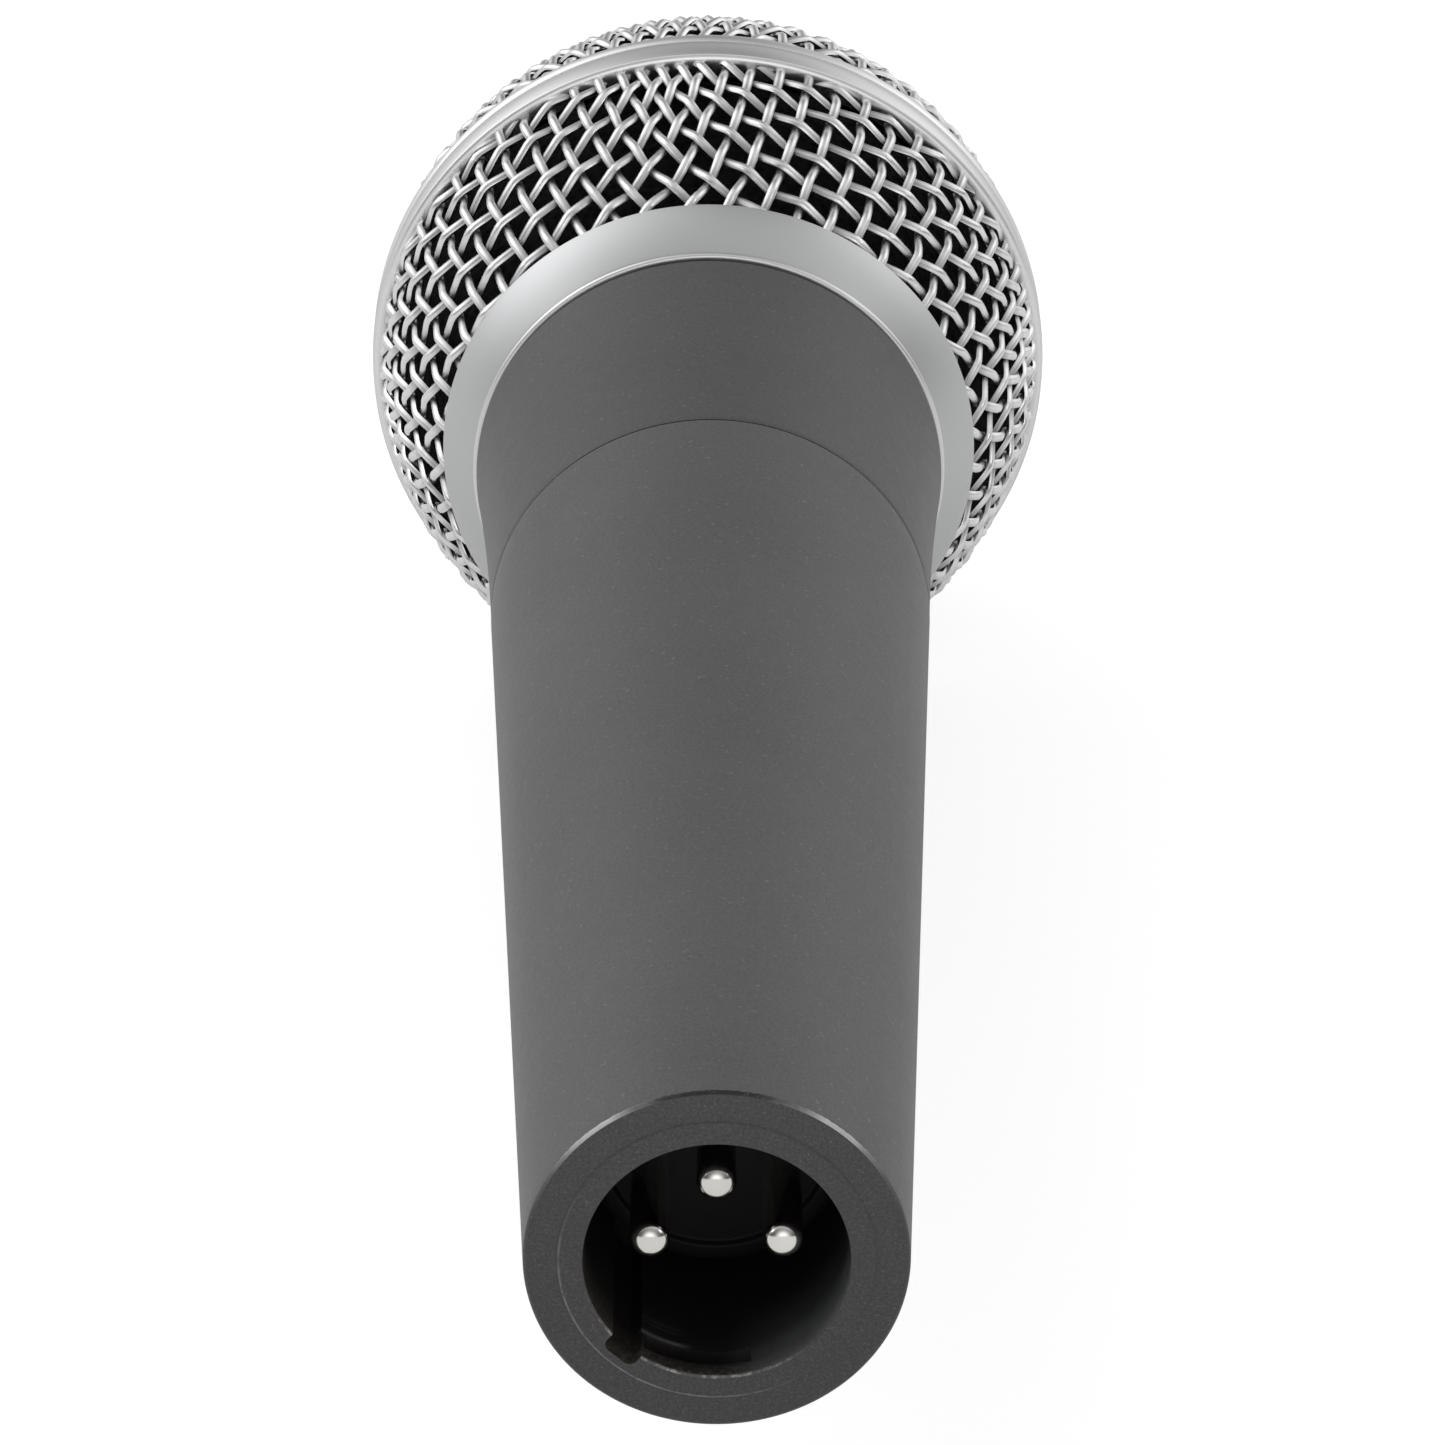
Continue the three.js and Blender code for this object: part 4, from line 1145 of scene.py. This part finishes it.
# ------------------------------------------------------------------ turned internals
# name, CAD node, body, slot, material, corner rounding, profile
TURNED = [
    ("capsule_case", "cartridge_housing", "cartridge", "black_plastic", BLACK, 0.25,
     [(7.0, 105.7), (12.1, 105.7), (12.1, 126.8), (11.2, 126.8), (11.2, 107.0), (7.0, 107.0)]),
    ("rear_volume", "rear_chamber", "cartridge", "black_plastic", BLACK, 0.4,
     [(0, 72.0), (9.6, 72.0), (9.6, 105.4), (8.4, 105.4), (8.4, 73.3), (0, 73.3)]),
    ("felt_disc", "damping_felt", "cartridge", "felt", FELT, 0.4,
     section(0, 8.1, 101.4, 103.6)),
    ("yoke", "yoke_cup", "cartridge", "steel", STEEL, 0.2,
     [(0, 107.2), (11.0, 107.2), (11.0, 117.1), (9.6, 117.1), (9.6, 108.9), (0, 108.9)]),
    ("magnet_disc", "magnet", "cartridge", "magnet_alloy", MAGNET, 0.25,
     section(0, 6.2, 109.1, 113.6)),
    ("pole", "pole_piece", "cartridge", "steel", STEEL, 0.15, section(0, 6.0, 113.75, 119.0)),
    ("plate_ring", "top_plate", "cartridge", "steel", STEEL, 0.15,
     section(6.95, 11.0, 117.3, 119.0)),
    ("film_ring", "diaphragm_ring", "cartridge", "brass", BRASS, 0.1,
     section(10.55, 11.05, 119.2, 122.4)),
    ("coil_winding", "voice_coil", "diaphragm", "copper", COPPER, 0.1,
     section(6.25, 6.65, 115.0, 120.95)),
    ("screen_disc", "capsule_screen", "cartridge", "steel", STEEL, 0.1,
     section(0, 10.9, 124.0, 124.4)),
    ("board_disc", "terminal_board", "cartridge", "board", BOARD, 0.1,
     section(0, 6.4, 70.2, 71.8)),
    ("rear_pad_ring", "transformer_rear_pad", "handle", "black_rubber", RUBBER, 0.4,
     section(4.2, 10.4, 30.6, 33.6)),
    ("front_pad_ring", "transformer_front_pad", "handle", "black_rubber", RUBBER, 0.4,
     section(3.0, 11.5, 56.4, 59.2)),
]
for name, node, body, slot, material, corner, profile in TURNED:
    register(lathe(name, rounded(profile, corner), material, segments=128), body, slot, node)

# diaphragm: domed middle with a rippled roll round it
film = [(6.45 * u, 123.3 - 1.9 * u * u) for u in np.linspace(0, 1, 12)]
for k in range(1, 25):
    t = k / 24
    film.append((6.45 + 3.85 * t, 121.4 + 0.85 * sin(pi * t) + 0.10 * sin(6 * pi * t)))
film_back = [(radius, station - 0.2) for radius, station in film[::-1]]
register(lathe("film_dome", film + film_back, FILM, segments=128),
         "diaphragm", "clear_film", "diaphragm")

# cap over the capsule, with eight holes round a larger one
cap = lathe("front_cap", rounded(
    [(0, 130.2), (5.0, 129.8), (8.4, 128.6), (10.9, 126.9), (10.9, 124.7), (9.6, 124.7),
     (9.6, 126.2), (7.8, 127.4), (4.8, 128.4), (0, 128.8)],
    [0, 1.5, 1.5, 0.6, 0.2, 0.2, 0.6, 0.8, 0.8, 0]), BLACK, segments=128)
for i in range(8):
    angle = i * pi / 4
    cut(cap, peg(1.1, 122, 134, BLACK, segments=32, centre=(6.4 * sin(angle), 6.4 * cos(angle))))
cut(cap, peg(1.6, 122, 134, BLACK, segments=32))
register(cap, "cartridge", "black_plastic", "resonator_cap")


def lead(name, points, material, radius=0.45, sides=16, steps=15):
    """Round insulated wire through (x, station, z) points, with so many steps between each."""
    points = np.array(points, float)
    spans = len(points) - 1
    path = np.array([spline(points, k, i / steps) for k in range(spans)
                     for i in range(steps + (1 if k == spans - 1 else 0))])
    forward = unit_rows(np.gradient(path, axis=0))
    upward = np.cross(forward[0], [1.0, 0.3, 0.2])
    upward /= norm(upward)
    verts = []
    for centre, ahead in zip(path, forward):
        upward = upward - ahead * (upward @ ahead)
        upward /= norm(upward)
        sideways = np.cross(ahead, upward)
        for i in range(sides):
            angle = 2 * pi * i / sides
            verts.append(place(*(centre + radius * (cos(angle) * upward
                                                    + sin(angle) * sideways))))
    return new_mesh(name, verts, bar_faces(0, len(path), sides), material, sharp=50)


# name, CAD node, body, colour, (x, station, z) points
LEADS = [
    ("pin_wire_1", "lead_pin_1", "handle", "black",
     [(-3.96, 22.2, 0), (-3.96, 25.6, 0), (-3.0, 28.4, -0.6), (-2.6, 31.5, -1.6),
      (-2.8, 33.5, -2.0)]),
    ("pin_wire_2", "lead_pin_2", "handle", "red",
     [(3.96, 22.2, 0), (3.96, 25.6, 0), (3.0, 28.4, -0.6), (2.6, 31.5, -1.6),
      (2.8, 33.5, -2.0)]),
    ("pin_wire_3", "lead_pin_3", "handle", "yellow",
     [(0, 22.2, 3.96), (0, 25.6, 3.96), (0.2, 28.4, 3.0), (0, 31.5, 2.3), (0, 33.5, 2.3)]),
    ("coil_wire_1", "lead_coil_1", "cartridge", "yellow",
     [(-3.4, 69.6, 0.95), (-3.4, 66.6, 0.95), (-2.6, 64.0, 1.4), (-1.4, 61.6, 0.8),
      (-1.2, 59.9, 0.4)]),
    ("coil_wire_2", "lead_coil_2", "cartridge", "green",
     [(3.4, 69.6, -0.95), (3.4, 66.6, -0.95), (2.6, 64.0, -1.4), (1.4, 61.6, -0.8),
      (1.2, 59.9, -0.4)]),
]
for name, node, body, colour, points in LEADS:
    register(lead(name, points, INSULATION[colour]), body, "wire_" + colour, node)

# CAD nodes that stay: material and width of their softened edges
KEPT = {
    "insert_set_screw": (STEEL, 0.12), "ground_spring": (BRASS, 0.06),
    "transformer_core": (CORE, 0.2), "transformer_bobbin": (BLACK, 0.12),
    "transformer_winding": (COPPER, 0.8), "terminal_lug_1": (BRASS, 0.1),
    "terminal_lug_2": (BRASS, 0.1)}
for node, (material, width) in KEPT.items():
    obj = frame["nodes"][node]
    obj.data.materials.clear()
    obj.data.materials.append(material)
    bevel = obj.modifiers.new("soft_edges", "BEVEL")
    bevel.width = width * MM
    bevel.segments = 3
    bevel.limit_method = "ANGLE"
    bevel.angle_limit = radians(40)

# ------------------------------------------------------------------ floor
FLOOR_HALF_SIZE, FLOOR_Z = 6.0, -0.0262          # metres
bm = bmesh.new()
bmesh.ops.create_grid(bm, x_segments=2, y_segments=2, size=FLOOR_HALF_SIZE)
mesh = bpy.data.meshes.new("floor")
bm.to_mesh(mesh)
bm.free()
floor = add_object("floor", mesh)
floor.location = (0, 0, FLOOR_Z)
white = Shader("floor_white")
# the camera sees it near white with a faint contact shadow; it lights the body more softly
bounced, seen = (white.principled(
    Base_Color=(grey, grey, grey), Roughness=0.9, Specular_IOR_Level=0.0,
    Emission_Color=(1, 1, 1), Emission_Strength=glow) for grey, glow in ((0.70, 0.212),
                                                                         (0.58, 0.725)))
is_camera = white.add("LightPath").outputs["Is Camera Ray"]
white.feed(white.output,
           white.add("MixShader", {0: is_camera, 1: bounced, 2: seen}).outputs[0])
floor.data.materials.append(white.material)
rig.stage(floor)

# ------------------------------------------------------------------ world
# Soft light of a white studio, in broad lobes:
# azimuth from +Y towards +X, elevation (degrees), tightness, strength
LOBES = [
    (25, 5, 12, 0.698), (-25, 5, 12, 0.529), (50, 5, 12, 0.022), (180, 5, 12, 1.423),
    (0, 30, 11, 0.029), (60, 30, 11, 1.073), (-60, 30, 11, 1.124), (90, 30, 11, 0.359),
    (-90, 30, 11, 0.927), (125, 30, 11, 0.110),
    (-60, 58, 9, 0.624), (120, 58, 9, 0.423), (-120, 58, 9, 0.202), (180, 58, 9, 0.182),
    (0, 90, 7, 0.167),
]
world = bpy.data.worlds.new("studio")
scene.world = world
world.use_nodes = True
sky = Tree(world.node_tree)
sky_output = sky.add("OutputWorld").inputs["Surface"]
ray = sky.add("TexCoord").outputs["Generated"]


def sky_math(operation, first, second=0.0):
    return sky.add("Math", {0: first, 1: second}, operation=operation).outputs[0]


def lobe(azimuth, elevation, tightness, strength):
    azimuth, elevation = radians(azimuth), radians(elevation)
    direction = Vector((cos(elevation) * sin(azimuth), cos(elevation) * cos(azimuth),
                        sin(elevation))).normalized()
    aligned = sky.add("VectorMath", {0: ray, 1: direction},
                      operation="DOT_PRODUCT").outputs["Value"]
    falloff = sky_math("MULTIPLY", sky_math("SUBTRACT", aligned, 1.0), tightness)
    return sky_math("MULTIPLY", sky_math("EXPONENT", falloff), strength)


glow = reduce(lambda a, b: sky_math("ADD", a, b), [lobe(*row) for row in LOBES])
soft, plain = (sky.add("Background", {"Color": (1, 1, 1), "Strength": strength}).outputs[0]
               for strength in (glow, 1.0))
is_camera = sky.add("LightPath").outputs["Is Camera Ray"]
sky.feed(sky_output, sky.add("MixShader", {0: is_camera, 1: soft, 2: plain}).outputs[0])

# ------------------------------------------------------------------ softboxes
# one to each side, above the body and towards the tail: name, x of its direction, power in W
for name, x, power in (("strip_left", -0.72, 0.40), ("strip_right", 0.72, 0.45)):
    light = bpy.data.lights.new(name, "AREA")
    light.shape = "RECTANGLE"
    light.size, light.size_y = 0.16, 0.30
    light.energy = power
    softbox = add_object(name, light)
    softbox.location = Vector((x, -0.45, 0.45)).normalized() * 1.2
    softbox.rotation_mode = "QUATERNION"
    softbox.rotation_quaternion = (-softbox.location).to_track_quat("-Z", "Y")
    softbox.visible_camera = False

# ------------------------------------------------------------------ camera
# above and beyond the tail, looking down along the body
CAMERA_AT = (-1.73, -348.92, 209.85)             # x, station, z
lens = bpy.data.cameras.new("camera")
lens.lens = 170.8
lens.sensor_width = 36.0
lens.clip_start = 0.01
lens.clip_end = 50
camera = add_object("camera", lens)
forward = Vector((0.0053, 0.8947, -0.4467)).normalized()
right = forward.cross(Vector((0.0026, 0.4467, 0.8947)).normalized()).normalized()
upward = right.cross(forward).normalized()
turn = Matrix((right, upward, -forward)).transposed()
camera.matrix_world = Matrix.Translation(place(*CAMERA_AT)) @ turn.to_4x4()
scene.camera = camera
scene.view_settings.view_transform = "Standard"
scene.view_settings.look = "None"
scene.view_settings.exposure = 0.0
scene.view_settings.gamma = 1.0

bpy.context.view_layer.update()
low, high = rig.bounds()
with open("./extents.json", "w") as f:
    json.dump({"cad": CAD_BOX, "visual": [list(map(float, low)), list(map(float, high))]},
              f, indent=1)
